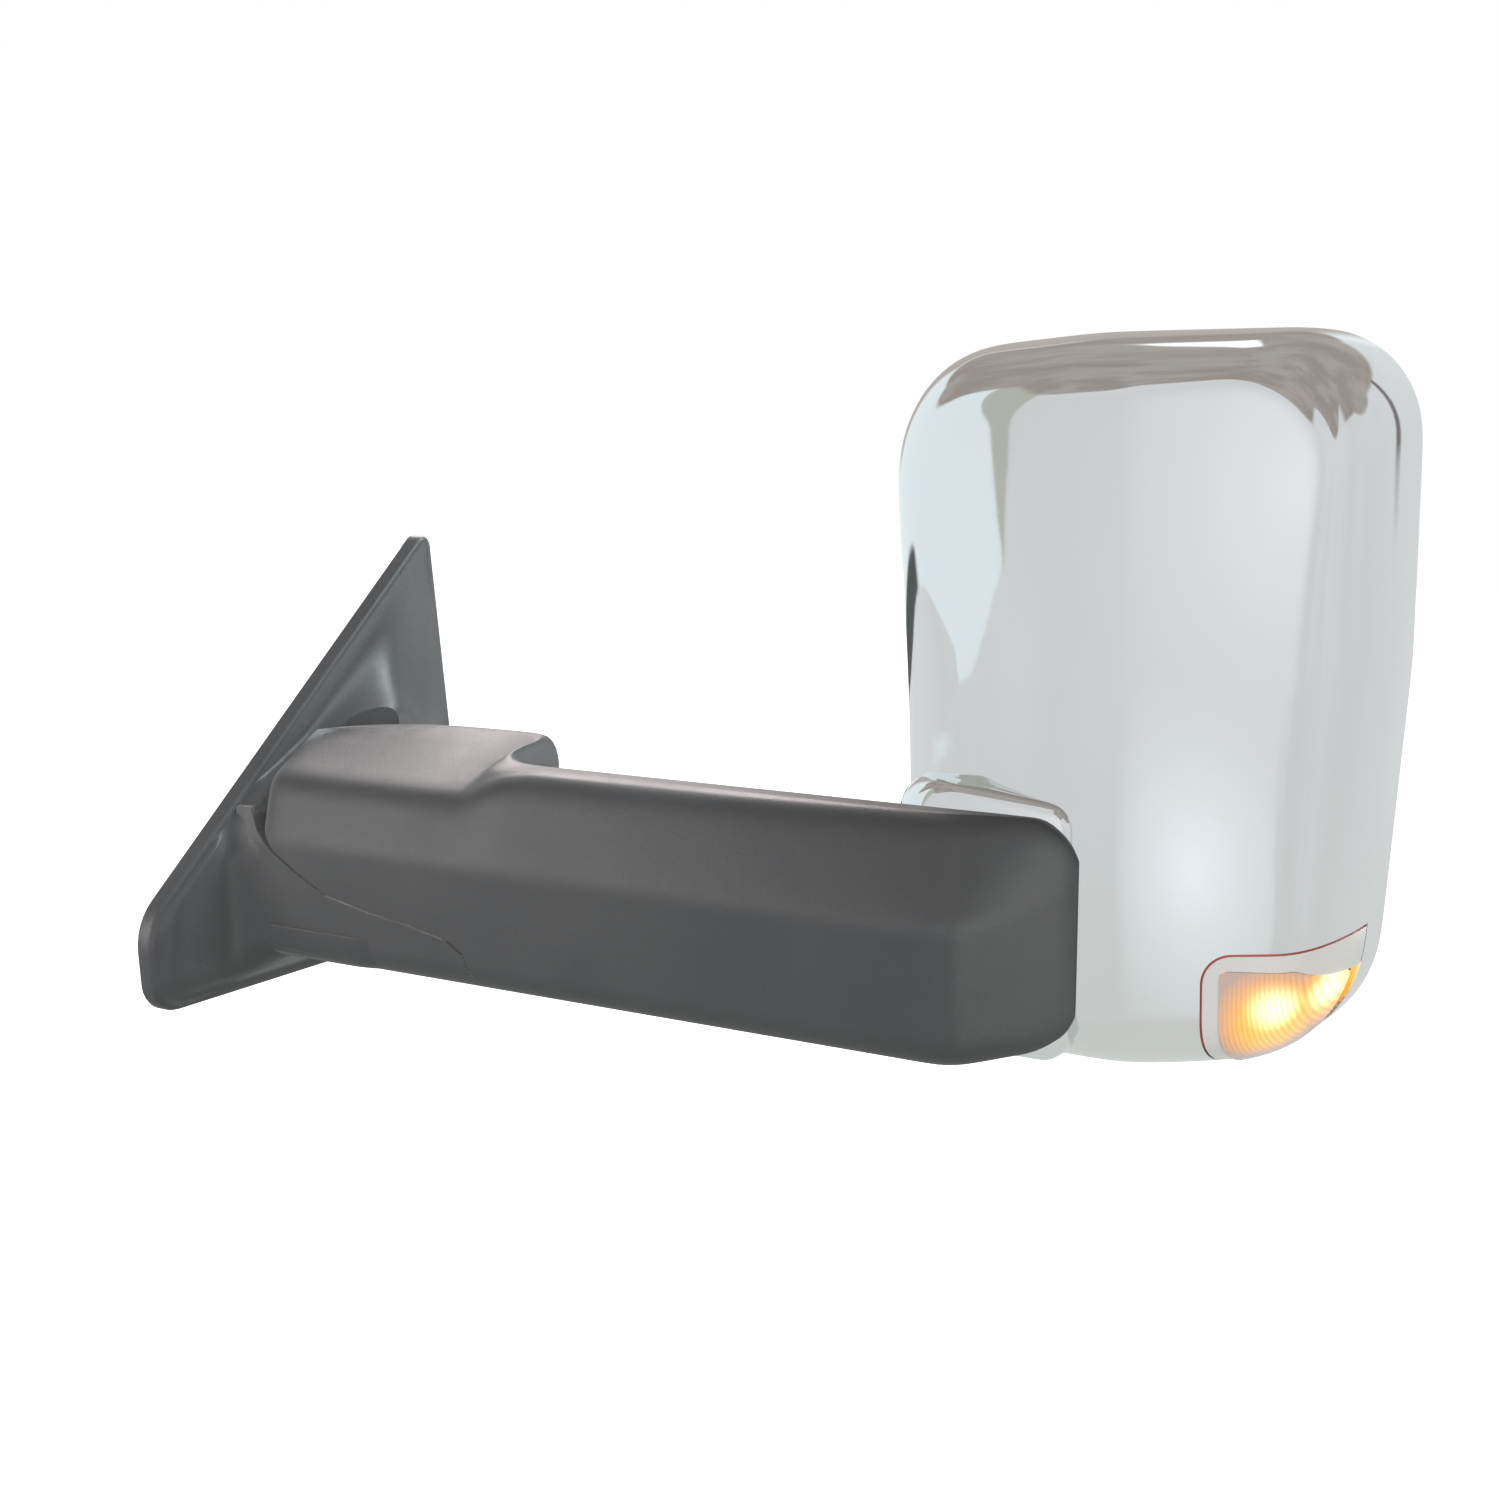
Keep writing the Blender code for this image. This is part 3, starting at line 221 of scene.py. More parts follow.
def skin(name, rings, first="face", last="face"):
    """A skin over sections: a circle extruded from outline to outline, with its ends closed."""
    count = len(rings[0])
    deselect_all()
    bpy.ops.mesh.primitive_circle_add(vertices=count, radius=1.0)
    obj = bpy.context.object
    obj.name = obj.data.name = name
    bm = edit(obj)
    loop = list(range(count))
    put(bm, loop, rings[0])
    bpy.ops.mesh.select_all(action="SELECT")
    for ring in rings[1:]:
        bpy.ops.mesh.extrude_edges_move()
        bm = bmesh.from_edit_mesh(obj.data)
        bm.verts.index_update()
        bm.verts.ensure_lookup_table()
        moved = []
        for i in loop:
            vert = bm.verts[i]
            moved.append(next(e.other_vert(vert).index for e in vert.link_edges if e.other_vert(vert).select))
        loop = moved
        put(bm, loop, ring)
    bmesh.update_edit_mesh(obj.data)
    bpy.ops.object.mode_set(mode="OBJECT")
    if first != "open":
        fill_loop(obj, list(range(count)), first == "grid")
    if last != "open":
        fill_loop(obj, loop, last == "grid")
    turn_out(obj)
    return obj


def turn_out(obj):
    edit(obj)
    bpy.ops.mesh.select_all(action="SELECT")
    bpy.ops.mesh.normals_make_consistent(inside=False)
    bpy.ops.object.mode_set(mode="OBJECT")


def place(axis, height, across, up):
    """A point from its height along an axis and its two other coordinates, in X, Y, Z order."""
    if axis == "X":
        return (height, across, up)
    if axis == "Y":
        return (across, height, up)
    return (across, up, height)


def prism(name, axis, outline, start, end):
    return skin(name, [[place(axis, h, a, b) for a, b in outline] for h in (start, end)])


def rod(name, axis, centre, radius, start, end, around=48):
    return prism(name, axis, circle(centre, radius, around), start, end)


def block(name, low, high):
    """A cube added at its size and place, to cut with."""
    deselect_all()
    middle = [(a + b) / 2 * MM for a, b in zip(low, high)]
    bpy.ops.mesh.primitive_cube_add(size=1.0, location=middle)
    obj = bpy.context.object
    obj.name = name
    obj.scale = [(b - a) * MM for a, b in zip(low, high)]
    bpy.ops.object.transform_apply(location=True, rotation=True, scale=True)
    return obj


def run_modifier(obj, kind, **values):
    select_only(obj)
    bpy.ops.object.modifier_add(type=kind)
    modifier = obj.modifiers[-1]
    for key, value in values.items():
        setattr(modifier, key, value)
    bpy.ops.object.modifier_apply(modifier=modifier.name)
    return obj


def boolean(obj, others, operation):
    for other in others:
        run_modifier(obj, "BOOLEAN", object=other, operation=operation, solver="EXACT")
        bpy.data.objects.remove(other, do_unlink=True)
    return obj


def cut(obj, *others):
    return boolean(obj, others, "DIFFERENCE")


def join(obj, *others):
    return boolean(obj, others, "UNION")


def keep(obj, *others):
    return boolean(obj, others, "INTERSECT")


def duplicate(obj, name):
    select_only(obj)
    bpy.ops.object.duplicate(linked=False)
    twin = bpy.context.object
    twin.name = twin.data.name = name
    return twin


def round_edges(obj, width, angle=35, segments=2):
    return run_modifier(obj, "BEVEL", width=width, segments=segments, limit_method="ANGLE",
                        angle_limit=math.radians(angle), use_clamp_overlap=True, miter_outer="MITER_ARC")


# ---------------------------------------------------------------- outlines and sections


def circle(centre, radius, steps=48):
    turn = math.tau / steps
    return [(centre[0] + radius * math.cos(i * turn), centre[1] + radius * math.sin(i * turn))
            for i in range(steps)]


def corner_frame(corners, i):
    """A corner, the ways back and ahead along the outline from it, and half the angle between them."""
    corner = Vector(corners[i])
    back = (Vector(corners[i - 1]) - corner).normalized()
    ahead = (Vector(corners[(i + 1) % len(corners)]) - corner).normalized()
    return corner, back, ahead, back.angle(ahead) / 2


def fillet(corners, radii, steps=10):
    """The corners of a convex outline rounded with arcs."""
    points = []
    for i, radius in enumerate(radii):
        corner, back, ahead, half = corner_frame(corners, i)
        middle = corner + (back + ahead).normalized() * (radius / math.sin(half))
        arm = corner + back * (radius / math.tan(half)) - middle
        sweep = math.pi - 2 * half
        side = 1 if back.x * ahead.y - back.y * ahead.x < 0 else -1
        for k in range(steps + 1):
            turn = side * sweep * k / steps
            points.append((middle.x + arm.x * math.cos(turn) - arm.y * math.sin(turn),
                           middle.y + arm.x * math.sin(turn) + arm.y * math.cos(turn)))
    return points


def inset(corners, radii, distance, steps=10):
    """The rounded outline moved inwards, with the same number of points."""
    moved = []
    for i in range(len(corners)):
        corner, back, ahead, half = corner_frame(corners, i)
        moved.append(tuple(corner + (back + ahead).normalized() * (distance / math.sin(half))))
    return fillet(moved, [max(radius - distance, 0.6) for radius in radii], steps)


def resample(points, count):
    """Evenly spaced points along a closed outline."""
    loop = np.array(list(points) + [points[0]], float)
    steps = np.linalg.norm(np.diff(loop, axis=0), axis=1)
    length = np.concatenate([[0.0], np.cumsum(steps)])
    at = np.linspace(0.0, length[-1], count, endpoint=False)
    return np.column_stack([np.interp(at, length, loop[:, k]) for k in range(loop.shape[1])])


def soften(points, passes):
    """A closed outline with the start and end of each curve eased."""
    for _ in range(passes):
        points = points * 0.5 + (np.roll(points, 1, 0) + np.roll(points, -1, 0)) * 0.25
    return points


def ease(grid, around, along):
    """Sections with their corners rounded around each one and from one to the next."""
    for _ in range(around):
        grid = grid * 0.5 + (np.roll(grid, 1, 1) + np.roll(grid, -1, 1)) * 0.25
    for _ in range(along):
        inner = grid[1:-1] * 0.5 + (grid[:-2] + grid[2:]) * 0.25
        grid = np.concatenate([grid[:1], inner, grid[-1:]])
    return grid


def dense(sections, step, count):
    """Coarse sections of equal point counts as a fine grid: even around, and no further apart than a step."""
    rows = np.array(sections, float)
    middle = rows[len(rows) // 2]
    sides = np.linalg.norm(np.roll(middle, -1, 0) - middle, axis=1)
    parts = np.maximum(1, np.round(sides / sides.sum() * count).astype(int))
    around = []
    for i, part in enumerate(parts):
        ahead = np.roll(rows, -1, 1)
        for k in range(part):
            around.append(rows[:, i] + (ahead[:, i] - rows[:, i]) * k / part)
    rows = np.stack(around, axis=1)
    full = []
    for near, far in zip(rows, rows[1:]):
        gap = max(np.linalg.norm(far - near, axis=1).mean(), 0.1)
        parts = max(1, int(math.ceil(gap / step)))
        full += [near + (far - near) * k / parts for k in range(parts)]
    full.append(rows[-1])
    return np.array(full)


def arm_section(x, front, back, bottom, top_front, top_back, lean, shrink, corner=7.0):
    """One section of the arm across X: two facets in front meet at a ridge, and lean lays the top one back."""
    bottom, top_front, top_back = bottom + shrink, top_front - shrink, top_back - shrink
    soft = min(1.0, (back - front) / 34)
    corner *= soft
    ridge = bottom + 0.57 * (ARM_TOP - ARM_BOTTOM - 2 * shrink)
    upper = front + lean * soft
    shape = [
        (front + 13 * soft, bottom),
        (front + 7.5 * soft, bottom + 2),
        (front + 4 * soft, bottom + 7),
        (front + 0.6 * soft, ridge - 4),
        (front, ridge + 1),
        (upper, top_front - 8),
        (upper + 2.5 * soft, top_front - 3),
        (upper + 7 * soft, top_front),
        (max(upper + 7 * soft + 1, (front + back) / 2), (top_front + top_back) / 2 + 0.8),
        (back - corner, top_back),
        (back - corner * 0.3, top_back - corner * 0.3),
        (back, top_back - corner),
        (back, bottom + 8),
        (back - 2 * soft, bottom + 2.5),
        (back - 7 * soft, bottom),
    ]
    return [(x, y, z) for y, z in shape]


def drum_section(run, shrink):
    """A section of the drum end, a run in from its wall: a corner in front, round about the axis behind."""
    x = FOLD_X - DRUM_RADIUS + shrink + run
    corner = DRUM_CORNER - shrink
    into = max(0.0, FOLD_X - DRUM_RADIUS + DRUM_CORNER - x)
    front = ARM_FRONT + DRUM_CORNER - math.sqrt(max(corner * corner - into * into, 0.0))
    back = FOLD_Y + math.sqrt((DRUM_RADIUS - shrink) ** 2 - (FOLD_X - x) ** 2)
    return x, front, back, ARM_BOTTOM, DRUM_TOP_FRONT, DRUM_TOP_BACK, 5, shrink, 14


def arm_sections(shrink):
    """Sections from the drum end, past the step that the flipped head swings beside, to the bevelled tip."""
    sections = [drum_section(run, shrink) for run in (0.8, 3, 8, 16, 30)]
    top, low = ARM_TOP, ARM_BOTTOM
    rest = [
        (FOLD_X, 0, 48, low, DRUM_TOP_FRONT, DRUM_TOP_BACK, 5, 14),
        (104, 0, 47, low, DRUM_TOP_FRONT, DRUM_TOP_BACK + 0.5, 5, 14),
        (118 - shrink, 0, 43, low, DRUM_TOP_FRONT, DRUM_TOP_BACK + 1, 6, 14),
        (124.5 - shrink, 0, 37, low, DRUM_TOP_FRONT, DRUM_TOP_BACK + 1, 6, 12),
        (127.5 - shrink, 0, 28, low, DRUM_TOP_FRONT, DRUM_TOP_BACK, 6, 10),
        (129.5 - shrink, 0, 8, low, DRUM_TOP_FRONT, DRUM_TOP_BACK - 1, 6, 8),
        (133 - shrink, 0, -5, low, DRUM_TOP_FRONT + 1, top + 3, 6, 7),
        (139, 0, ARM_BACK, low, DRUM_TOP_FRONT + 4, top + 1, 6, 7),
        (150, 0, ARM_BACK, low, top - 2, top, 6, 7),
        (164, 0, ARM_BACK, low, top, top, 7, 7),
        (260, 0, ARM_BACK, low, top, top, 9, 7),
        (352, 0, ARM_BACK, low, top, top, 13, 7),
        (361, 2, ARM_BACK, low + 1, top, top, 14, 7),
        (382 - shrink * 0.5, 25, ARM_BACK, low + 5, top - 1, top - 1, 5, 7),
        (391 - shrink, 34, ARM_BACK, low + 11, top - 9, top - 9, 1, 7),
        (ARM_END - shrink, 38.5, ARM_BACK - 0.8, low + 18, top - 16, top - 16, 0.5, 7),
    ]
    if shrink:
        rest = rest[:-2]
    for x, forward, back, *heights, corner in rest:
        sections.append((x, ARM_FRONT + forward + shrink, back - shrink, *heights, shrink, corner))
    return [arm_section(*section) for section in sections]


def panel_outline(distance, steps=10):
    corners = [(PANEL_LEFT, ARM_BOTTOM + 8), (PANEL_LEFT, ARM_TOP - 8), (PANEL_RIGHT, ARM_TOP - 8),
               (PANEL_RIGHT, ARM_BOTTOM + 8)]
    return inset(corners, [8, 8, 8, 8], distance, steps)


# ---------------------------------------------------------------- the sail's surface


def beyond(points, outline):
    """How far points stand outside a convex outline, negative inside it."""
    outline = np.array(outline, float)
    ahead = np.roll(outline, -1, 0) - outline
    normal = np.column_stack([ahead[:, 1], -ahead[:, 0]])
    normal /= np.linalg.norm(normal, axis=1)[:, None]
    if ((outline.mean(0) - outline[0]) @ normal[0]) > 0:
        normal = -normal
    return ((points[:, None] - outline[None]) * normal[None]).sum(2).max(1)


def step_up(value, low, high):
    share = np.clip((value - low) / (high - low), 0.0, 1.0)
    return share * share * (3 - 2 * share)


def flare_outline(front, rise, peak_y, peak_z, rear, low):
    corners = [(front, low), (front, rise), (peak_y, peak_z), (rear, peak_z - 20), (rear, low)]
    return fillet(corners, [10, 16, 12, 22, 14])


def sail_height(points):
    """How far the sail stands out from the door at points in Y and Z: its edge, pad and flare."""
    pad = step_up(-beyond(points, fillet(PAD_CORNERS, [12, 20, 9, 6, 6, 6, 6, 10], 4)), 0.0, 6.5)
    plate = EDGE_HEIGHT + (PAD_HEIGHT - EDGE_HEIGHT) * pad
    levels = [row[0] for row in FLARE]
    away = [beyond(points, flare_outline(*row[1:])) for row in FLARE]
    height = np.where(away[0] < 0, levels[0], levels[0] - 0.6 * away[0])
    for k in range(len(FLARE) - 1):
        between = (away[k] <= 0) & (away[k + 1] > 0)
        share = -away[k] / np.maximum(away[k + 1] - away[k], 1e-6)
        height = np.where(between, levels[k] + share * (levels[k + 1] - levels[k]), height)
    height = np.where(away[-1] <= 0, levels[-1], height)
    return (plate + height + np.sqrt((plate - height) ** 2 + 16.0)) / 2 - 0.8


def sail_rings(count=440):
    """The sail's edge: up from the door, a small round, then in over the face."""
    rings = []
    steps = [(0.6, 0.0), (EDGE_HEIGHT - 2.6, 0.0), (EDGE_HEIGHT - 1.4, 0.35), (EDGE_HEIGHT - 0.5, 1.1),
             (EDGE_HEIGHT - 0.1, 2.2)]
    for x, distance in steps:
        outline = soften(resample(inset(SAIL_CORNERS, SAIL_RADII, distance, 14), count), 3)
        rings.append([(x, y, z) for y, z in outline])
    return rings


def shelf_outline(distance):
    """The tongue under the drum, in X and Y: round about the fold axis, straight from there to the door."""
    radius = DRUM_RADIUS - distance
    arc = [(FOLD_X + radius * math.cos(math.radians(a)), FOLD_Y + radius * math.sin(math.radians(a)))
           for a in range(-90, 136, 5)]
    return [(2 + distance, arc[0][1]), *arc, (2 + distance, arc[-1][1])]


def drum_room():
    """Where the arm's end turns: round behind the fold axis, square to the front above the bowl."""
    radius = DRUM_RADIUS + DRUM_CLEARANCE
    arc = [(FOLD_X + radius * math.cos(math.radians(a)), FOLD_Y + radius * math.sin(math.radians(a)))
           for a in range(0, 181, 4)]
    upper = prism("drum_room", "Z", arc + [(FOLD_X - radius, -90), (FOLD_X + 140, -90)], SHELF_TOP - 1, 130)
    return cut(upper, prism("bowl_region", "Y", SEAM, -100, FOLD_Y))


# ---------------------------------------------------------------- the head's surface


def head_outline(distance, count=256):
    return soften(resample(inset(HEAD_CORNERS, HEAD_RADII, distance, 24), count), 6)


def face_depth(x, z):
    """How far forward the shell's front stands: two soft flats that meet at a crest."""
    inboard = ((CREST_X - x) + math.hypot(CREST_X - x, 5.0)) / 2
    outboard = ((x - CREST_X) + math.hypot(x - CREST_X, 5.0)) / 2
    rise = z - HEAD_MIDDLE[1]
    return (FACE_Y + 0.05 * inboard + 0.0021 * inboard * inboard
            + 0.04 * outboard + 0.0007 * outboard * outboard + 0.0003 * rise * rise)


def edge_width(x, z):
    """How wide the shell's front edge is rolled, wider on the inboard side."""
    across, up = x - HEAD_MIDDLE[0], z - HEAD_MIDDLE[1]
    share = across / math.hypot(across, up * 0.72)
    return 28 + (32 * share * share if share < 0 else -4 * share * share)


def dome_point(x0, z0, scale):
    """A point of the shell, from its outline at scale 0 in to the middle of its face at scale 1."""
    x = x0 + (HEAD_MIDDLE[0] - x0) * scale
    z = z0 + (HEAD_MIDDLE[1] - z0) * scale
    moved = scale * math.hypot(x0 - HEAD_MIDDLE[0], z0 - HEAD_MIDDLE[1])
    part = min(1.0, moved / edge_width(x0, z0))
    roll = (1 - (1 - part) ** 2.6) ** (1 / 2.6)
    y = RIM_Y + (face_depth(x, z) - RIM_Y) * roll
    return (x, y, z)


def dome(name, wall, count=256, steps=34):
    """The head's front shell: rings rolled in from the rim, a fine grid over the face, then its wall."""
    outline = head_outline(0.0, count)
    scales = [DOME_REACH * (k / steps) ** 2 for k in range(steps + 1)]
    rings = [[dome_point(x, z, scale) for x, z in outline] for scale in scales]
    shell = skin(name, rings, first="open", last="grid")
    for vert in shell.data.vertices[len(rings) * count:]:
        x, z = vert.co.x / MM, vert.co.z / MM
        vert.co.y = face_depth(x, z) * MM
    run_modifier(shell, "SOLIDIFY", thickness=wall, offset=-1.0, use_even_offset=True)
    turn_out(shell)
    return shell


def fairing(name, shrink, back):
    """The boss that reaches forward from the shell to meet the arm at the flip pivot."""
    rings = []
    steps = [(FACE_Y - 0.5, 18, 3.5), (FACE_Y + 0.2, 16.6, 1.8), (FACE_Y + 1.5, 14, 0.7),
             (FACE_Y + 3.5, 12, 0.1), (2, 8, 0), (8, 4, 0), (14, 1, 0), (back, -4, 0)]
    for y, left, distance in steps:
        corners = [(FAIRING_LEFT + left, FAIRING_BOTTOM), (FAIRING_LEFT + left, FAIRING_TOP_LEFT),
                   (FAIRING_RIGHT, FAIRING_TOP_RIGHT), (FAIRING_RIGHT, FAIRING_BOTTOM)]
        rings.append([(x, y if y == back else y + shrink, z)
                      for x, z in inset(corners, [26, 18, 10, 12], distance + shrink, 12)])
    return skin(name, rings)


def edge_x(z, margin):
    """Left and right X of the head's straight sides at a height, moved in by a margin."""
    (top_x, top_z), (low_x, low_z), (knee_x, knee_z) = HEAD_CORNERS[0], HEAD_CORNERS[-1], HEAD_CORNERS[3]
    left = low_x + (top_x - low_x) * (z - low_z) / (top_z - low_z)
    right = knee_x - 0.05 * max(0.0, knee_z - z)
    return left + margin, right - margin


def window(low, high, margin, radii, distance=0.0, steps=12):
    """A rounded opening or glass outline between two heights, margin in from the head's sides."""
    (low_left, low_right), (high_left, high_right) = edge_x(low, margin), edge_x(high, margin)
    corners = [(high_left, high), (high_right, high), (low_right, low), (low_left, low)]
    return inset(corners, radii, distance, steps)


# ---------------------------------------------------------------- node groups and finishes


def new_group(name, inputs, outputs):
    group = bpy.data.node_groups.new(name, "ShaderNodeTree")
    for label, default in inputs:
        socket = group.interface.new_socket(label, in_out="INPUT", socket_type="NodeSocketFloat")
        socket.default_value = default
    for label, kind in outputs:
        group.interface.new_socket(label, in_out="OUTPUT", socket_type=kind)
    group.nodes.new("NodeGroupInput").name = "in"
    group.nodes.new("NodeGroupOutput").name = "out"
    return group


def add(tree, kind, **values):
    """A node with its settings; a name that matches a socket sets that socket."""
    node = tree.nodes.new(kind)
    for key, value in values.items():
        label = key.replace("_", " ")
        if label in node.inputs:
            node.inputs[label].default_value = value
        else:
            setattr(node, key, value)
    return node


def math_node(tree, operation, first, second=0.0, clamp=False):
    node = tree.nodes.new("ShaderNodeMath")
    node.operation = operation
    node.use_clamp = clamp
    for socket, value in zip(node.inputs, (first, second)):
        if isinstance(value, (int, float)):
            socket.default_value = value
        else:
            tree.links.new(value, socket)
    return node.outputs[0]


def remap(tree, value, low, high, new_low, new_high):
    node = add(tree, "ShaderNodeMapRange", From_Min=low, From_Max=high, To_Min=new_low, To_Max=new_high)
    tree.links.new(value, node.inputs["Value"])
    return node.outputs["Result"]


def noise(tree, vector, scale, detail=3.0, roughness=0.55, distortion=0.0):
    node = add(tree, "ShaderNodeTexNoise", Detail=detail, Roughness=roughness, Distortion=distortion)
    tree.links.new(vector, node.inputs["Vector"])
    if isinstance(scale, (int, float)):
        node.inputs["Scale"].default_value = scale
    else:
        tree.links.new(scale, node.inputs["Scale"])
    return node.outputs["Fac"]


def grain_group():
    """Moulded grain: small raised cells over a broad unevenness."""
    group = new_group("Moulded Grain", [("Scale", 900.0), ("Depth", 1.0)],
                      [("Height", "NodeSocketFloat"), ("Speckle", "NodeSocketFloat")])
    entry, out = group.nodes["in"], group.nodes["out"]
    place_ = add(group, "ShaderNodeTexCoord").outputs["Object"]
    cells = add(group, "ShaderNodeTexVoronoi", feature="F1")
    group.links.new(place_, cells.inputs["Vector"])
    group.links.new(entry.outputs["Scale"], cells.inputs["Scale"])
    fine = noise(group, place_, math_node(group, "MULTIPLY", entry.outputs["Scale"], 1.7), 2.0)
    raised = math_node(group, "SUBTRACT", 1.0, cells.outputs["Distance"])
    height = math_node(group, "ADD", math_node(group, "MULTIPLY", raised, 0.6),
                       math_node(group, "MULTIPLY", fine, 0.4))
    group.links.new(math_node(group, "MULTIPLY", height, entry.outputs["Depth"]), out.inputs["Height"])
    group.links.new(remap(group, fine, 0.42, 0.68, 0.0, 1.0), out.inputs["Speckle"])
    return group


def wear_group():
    """Where handling has dulled or soiled a surface: broad cloudy patches and fine scuffs."""
    group = new_group("Handling", [("Scale", 14.0), ("Scuffs", 120.0)],
                      [("Patches", "NodeSocketFloat"), ("Scuffing", "NodeSocketFloat")])
    entry, out = group.nodes["in"], group.nodes["out"]
    place_ = add(group, "ShaderNodeTexCoord").outputs["Object"]
    patches = noise(group, place_, entry.outputs["Scale"], 4.0, 0.6, 0.4)
    stretch = add(group, "ShaderNodeMapping")
    stretch.inputs["Rotation"].default_value = (0.4, 0.9, 0.3)
    stretch.inputs["Scale"].default_value = (1.0, 0.25, 3.0)
    group.links.new(place_, stretch.inputs["Vector"])
    scuffs = noise(group, stretch.outputs["Vector"], entry.outputs["Scuffs"], 5.0, 0.7)
    group.links.new(remap(group, patches, 0.35, 0.7, 0.0, 1.0), out.inputs["Patches"])
    group.links.new(remap(group, scuffs, 0.55, 0.8, 0.0, 1.0), out.inputs["Scuffing"])
    return group


# name: base colour, second colour, roughness, second roughness, metallic, grain scale, grain bump in mm, coat
FINISHES = {
    "textured_black": ((0.034, 0.035, 0.037), (0.048, 0.048, 0.050), 0.46, 0.62, 0.0, 1500, 0.10, 0.0),
    "smooth_black": ((0.020, 0.020, 0.021), (0.030, 0.030, 0.031), 0.36, 0.48, 0.0, 2600, 0.03, 0.0),
    "cast_aluminium": ((0.48, 0.49, 0.50), (0.36, 0.36, 0.37), 0.44, 0.62, 1.0, 900, 0.10, 0.0),
    "zinc_steel": ((0.60, 0.60, 0.58), (0.48, 0.47, 0.42), 0.26, 0.42, 1.0, 2200, 0.02, 0.0),
    "spring_steel": ((0.24, 0.24, 0.25), (0.14, 0.13, 0.12), 0.30, 0.45, 1.0, 2200, 0.02, 0.0),
    "acetal": ((0.74, 0.73, 0.68), (0.66, 0.64, 0.58), 0.36, 0.46, 0.0, 2400, 0.02, 0.0),
    "foam_rubber": ((0.022, 0.022, 0.022), (0.045, 0.045, 0.044), 0.85, 0.95, 0.0, 1100, 0.25, 0.0),
    "reflector": ((0.85, 0.80, 0.72), (0.70, 0.60, 0.50), 0.16, 0.28, 1.0, 1800, 0.02, 0.0),
    "grey_plastic": ((0.16, 0.16, 0.17), (0.22, 0.22, 0.23), 0.45, 0.55, 0.0, 1800, 0.05, 0.0),
    "heater_film": ((0.30, 0.16, 0.06), (0.42, 0.24, 0.09), 0.42, 0.55, 0.0, 1600, 0.03, 0.0),
    "motor_can": ((0.56, 0.56, 0.54), (0.46, 0.46, 0.44), 0.28, 0.40, 1.0, 2200, 0.02, 0.0),
}
MADE = {}


def blank_material(name):
    material = bpy.data.materials.new(name)
    material.use_nodes = True
    tree = material.node_tree
    return material, tree, tree.nodes["Principled BSDF"]


def use_group(tree, name, maker, **values):
    if name not in bpy.data.node_groups:
        maker()
    node = tree.nodes.new("ShaderNodeGroup")
    node.node_tree = bpy.data.node_groups[name]
    for key, value in values.items():
        node.inputs[key].default_value = value
    return node


def blend_colour(tree, factor, first, second):
    node = tree.nodes.new("ShaderNodeMix")
    node.data_type = "RGBA"
    tree.links.new(factor, node.inputs[0])
    for socket, value in ((node.inputs[6], first), (node.inputs[7], second)):
        if hasattr(value, "is_linked"):
            tree.links.new(value, socket)
        else:
            socket.default_value = (*value[:3], 1.0)
    return node.outputs[2]


def finish(name):
    """A moulded, cast or plated surface with its own grain, patches and scuffs."""
    if name in MADE:
        return MADE[name]
    first, second, rough, rough_worn, metallic, scale, depth, coat = FINISHES[name]
    if name == "textured_black":
        first = bpy.context.scene.mirror_colours.plastic
    material, tree, shader = blank_material(name)
    grain = use_group(tree, "Moulded Grain", grain_group, Scale=scale, Depth=1.0)
    wear = use_group(tree, "Handling", wear_group)
    mask = math_node(tree, "ADD", math_node(tree, "MULTIPLY", wear.outputs["Patches"], 0.55),
                     math_node(tree, "MULTIPLY", grain.outputs["Speckle"], 0.45), clamp=True)
    tree.links.new(blend_colour(tree, mask, first, second), shader.inputs["Base Color"])
    dull = math_node(tree, "ADD", math_node(tree, "MULTIPLY", wear.outputs["Scuffing"], 0.5),
                     math_node(tree, "MULTIPLY", wear.outputs["Patches"], 0.5), clamp=True)
    tree.links.new(remap(tree, dull, 0.0, 1.0, rough, rough_worn), shader.inputs["Roughness"])
    bump = add(tree, "ShaderNodeBump", Strength=0.7, Distance=depth * MM)
    tree.links.new(grain.outputs["Height"], bump.inputs["Height"])
    tree.links.new(bump.outputs["Normal"], shader.inputs["Normal"])
    shader.inputs["Metallic"].default_value = metallic
    shader.inputs["Coat Weight"].default_value = coat
    MADE[name] = material
    return material


def chrome_finish():
    """Bright plating over moulded plastic: barely uneven, with faint smears."""
    material, tree, shader = blank_material("chrome_plate")
    colour = bpy.context.scene.mirror_colours.chrome
    wear = use_group(tree, "Handling", wear_group, Scale=9.0, Scuffs=60.0)
    smears = math_node(tree, "MULTIPLY", wear.outputs["Patches"], wear.outputs["Scuffing"])
    tint = blend_colour(tree, wear.outputs["Patches"], colour, [c * 0.97 for c in colour[:3]])
    tree.links.new(tint, shader.inputs["Base Color"])
    tree.links.new(remap(tree, smears, 0.0, 1.0, 0.045, 0.14), shader.inputs["Roughness"])
    place_ = add(tree, "ShaderNodeTexCoord").outputs["Object"]
    ripple = noise(tree, place_, 46.0, 2.0, 0.5)
    bump = add(tree, "ShaderNodeBump", Strength=0.5, Distance=0.05 * MM)
    tree.links.new(ripple, bump.inputs["Height"])
    tree.links.new(bump.outputs["Normal"], shader.inputs["Normal"])
    shader.inputs["Metallic"].default_value = 1.0
    return material


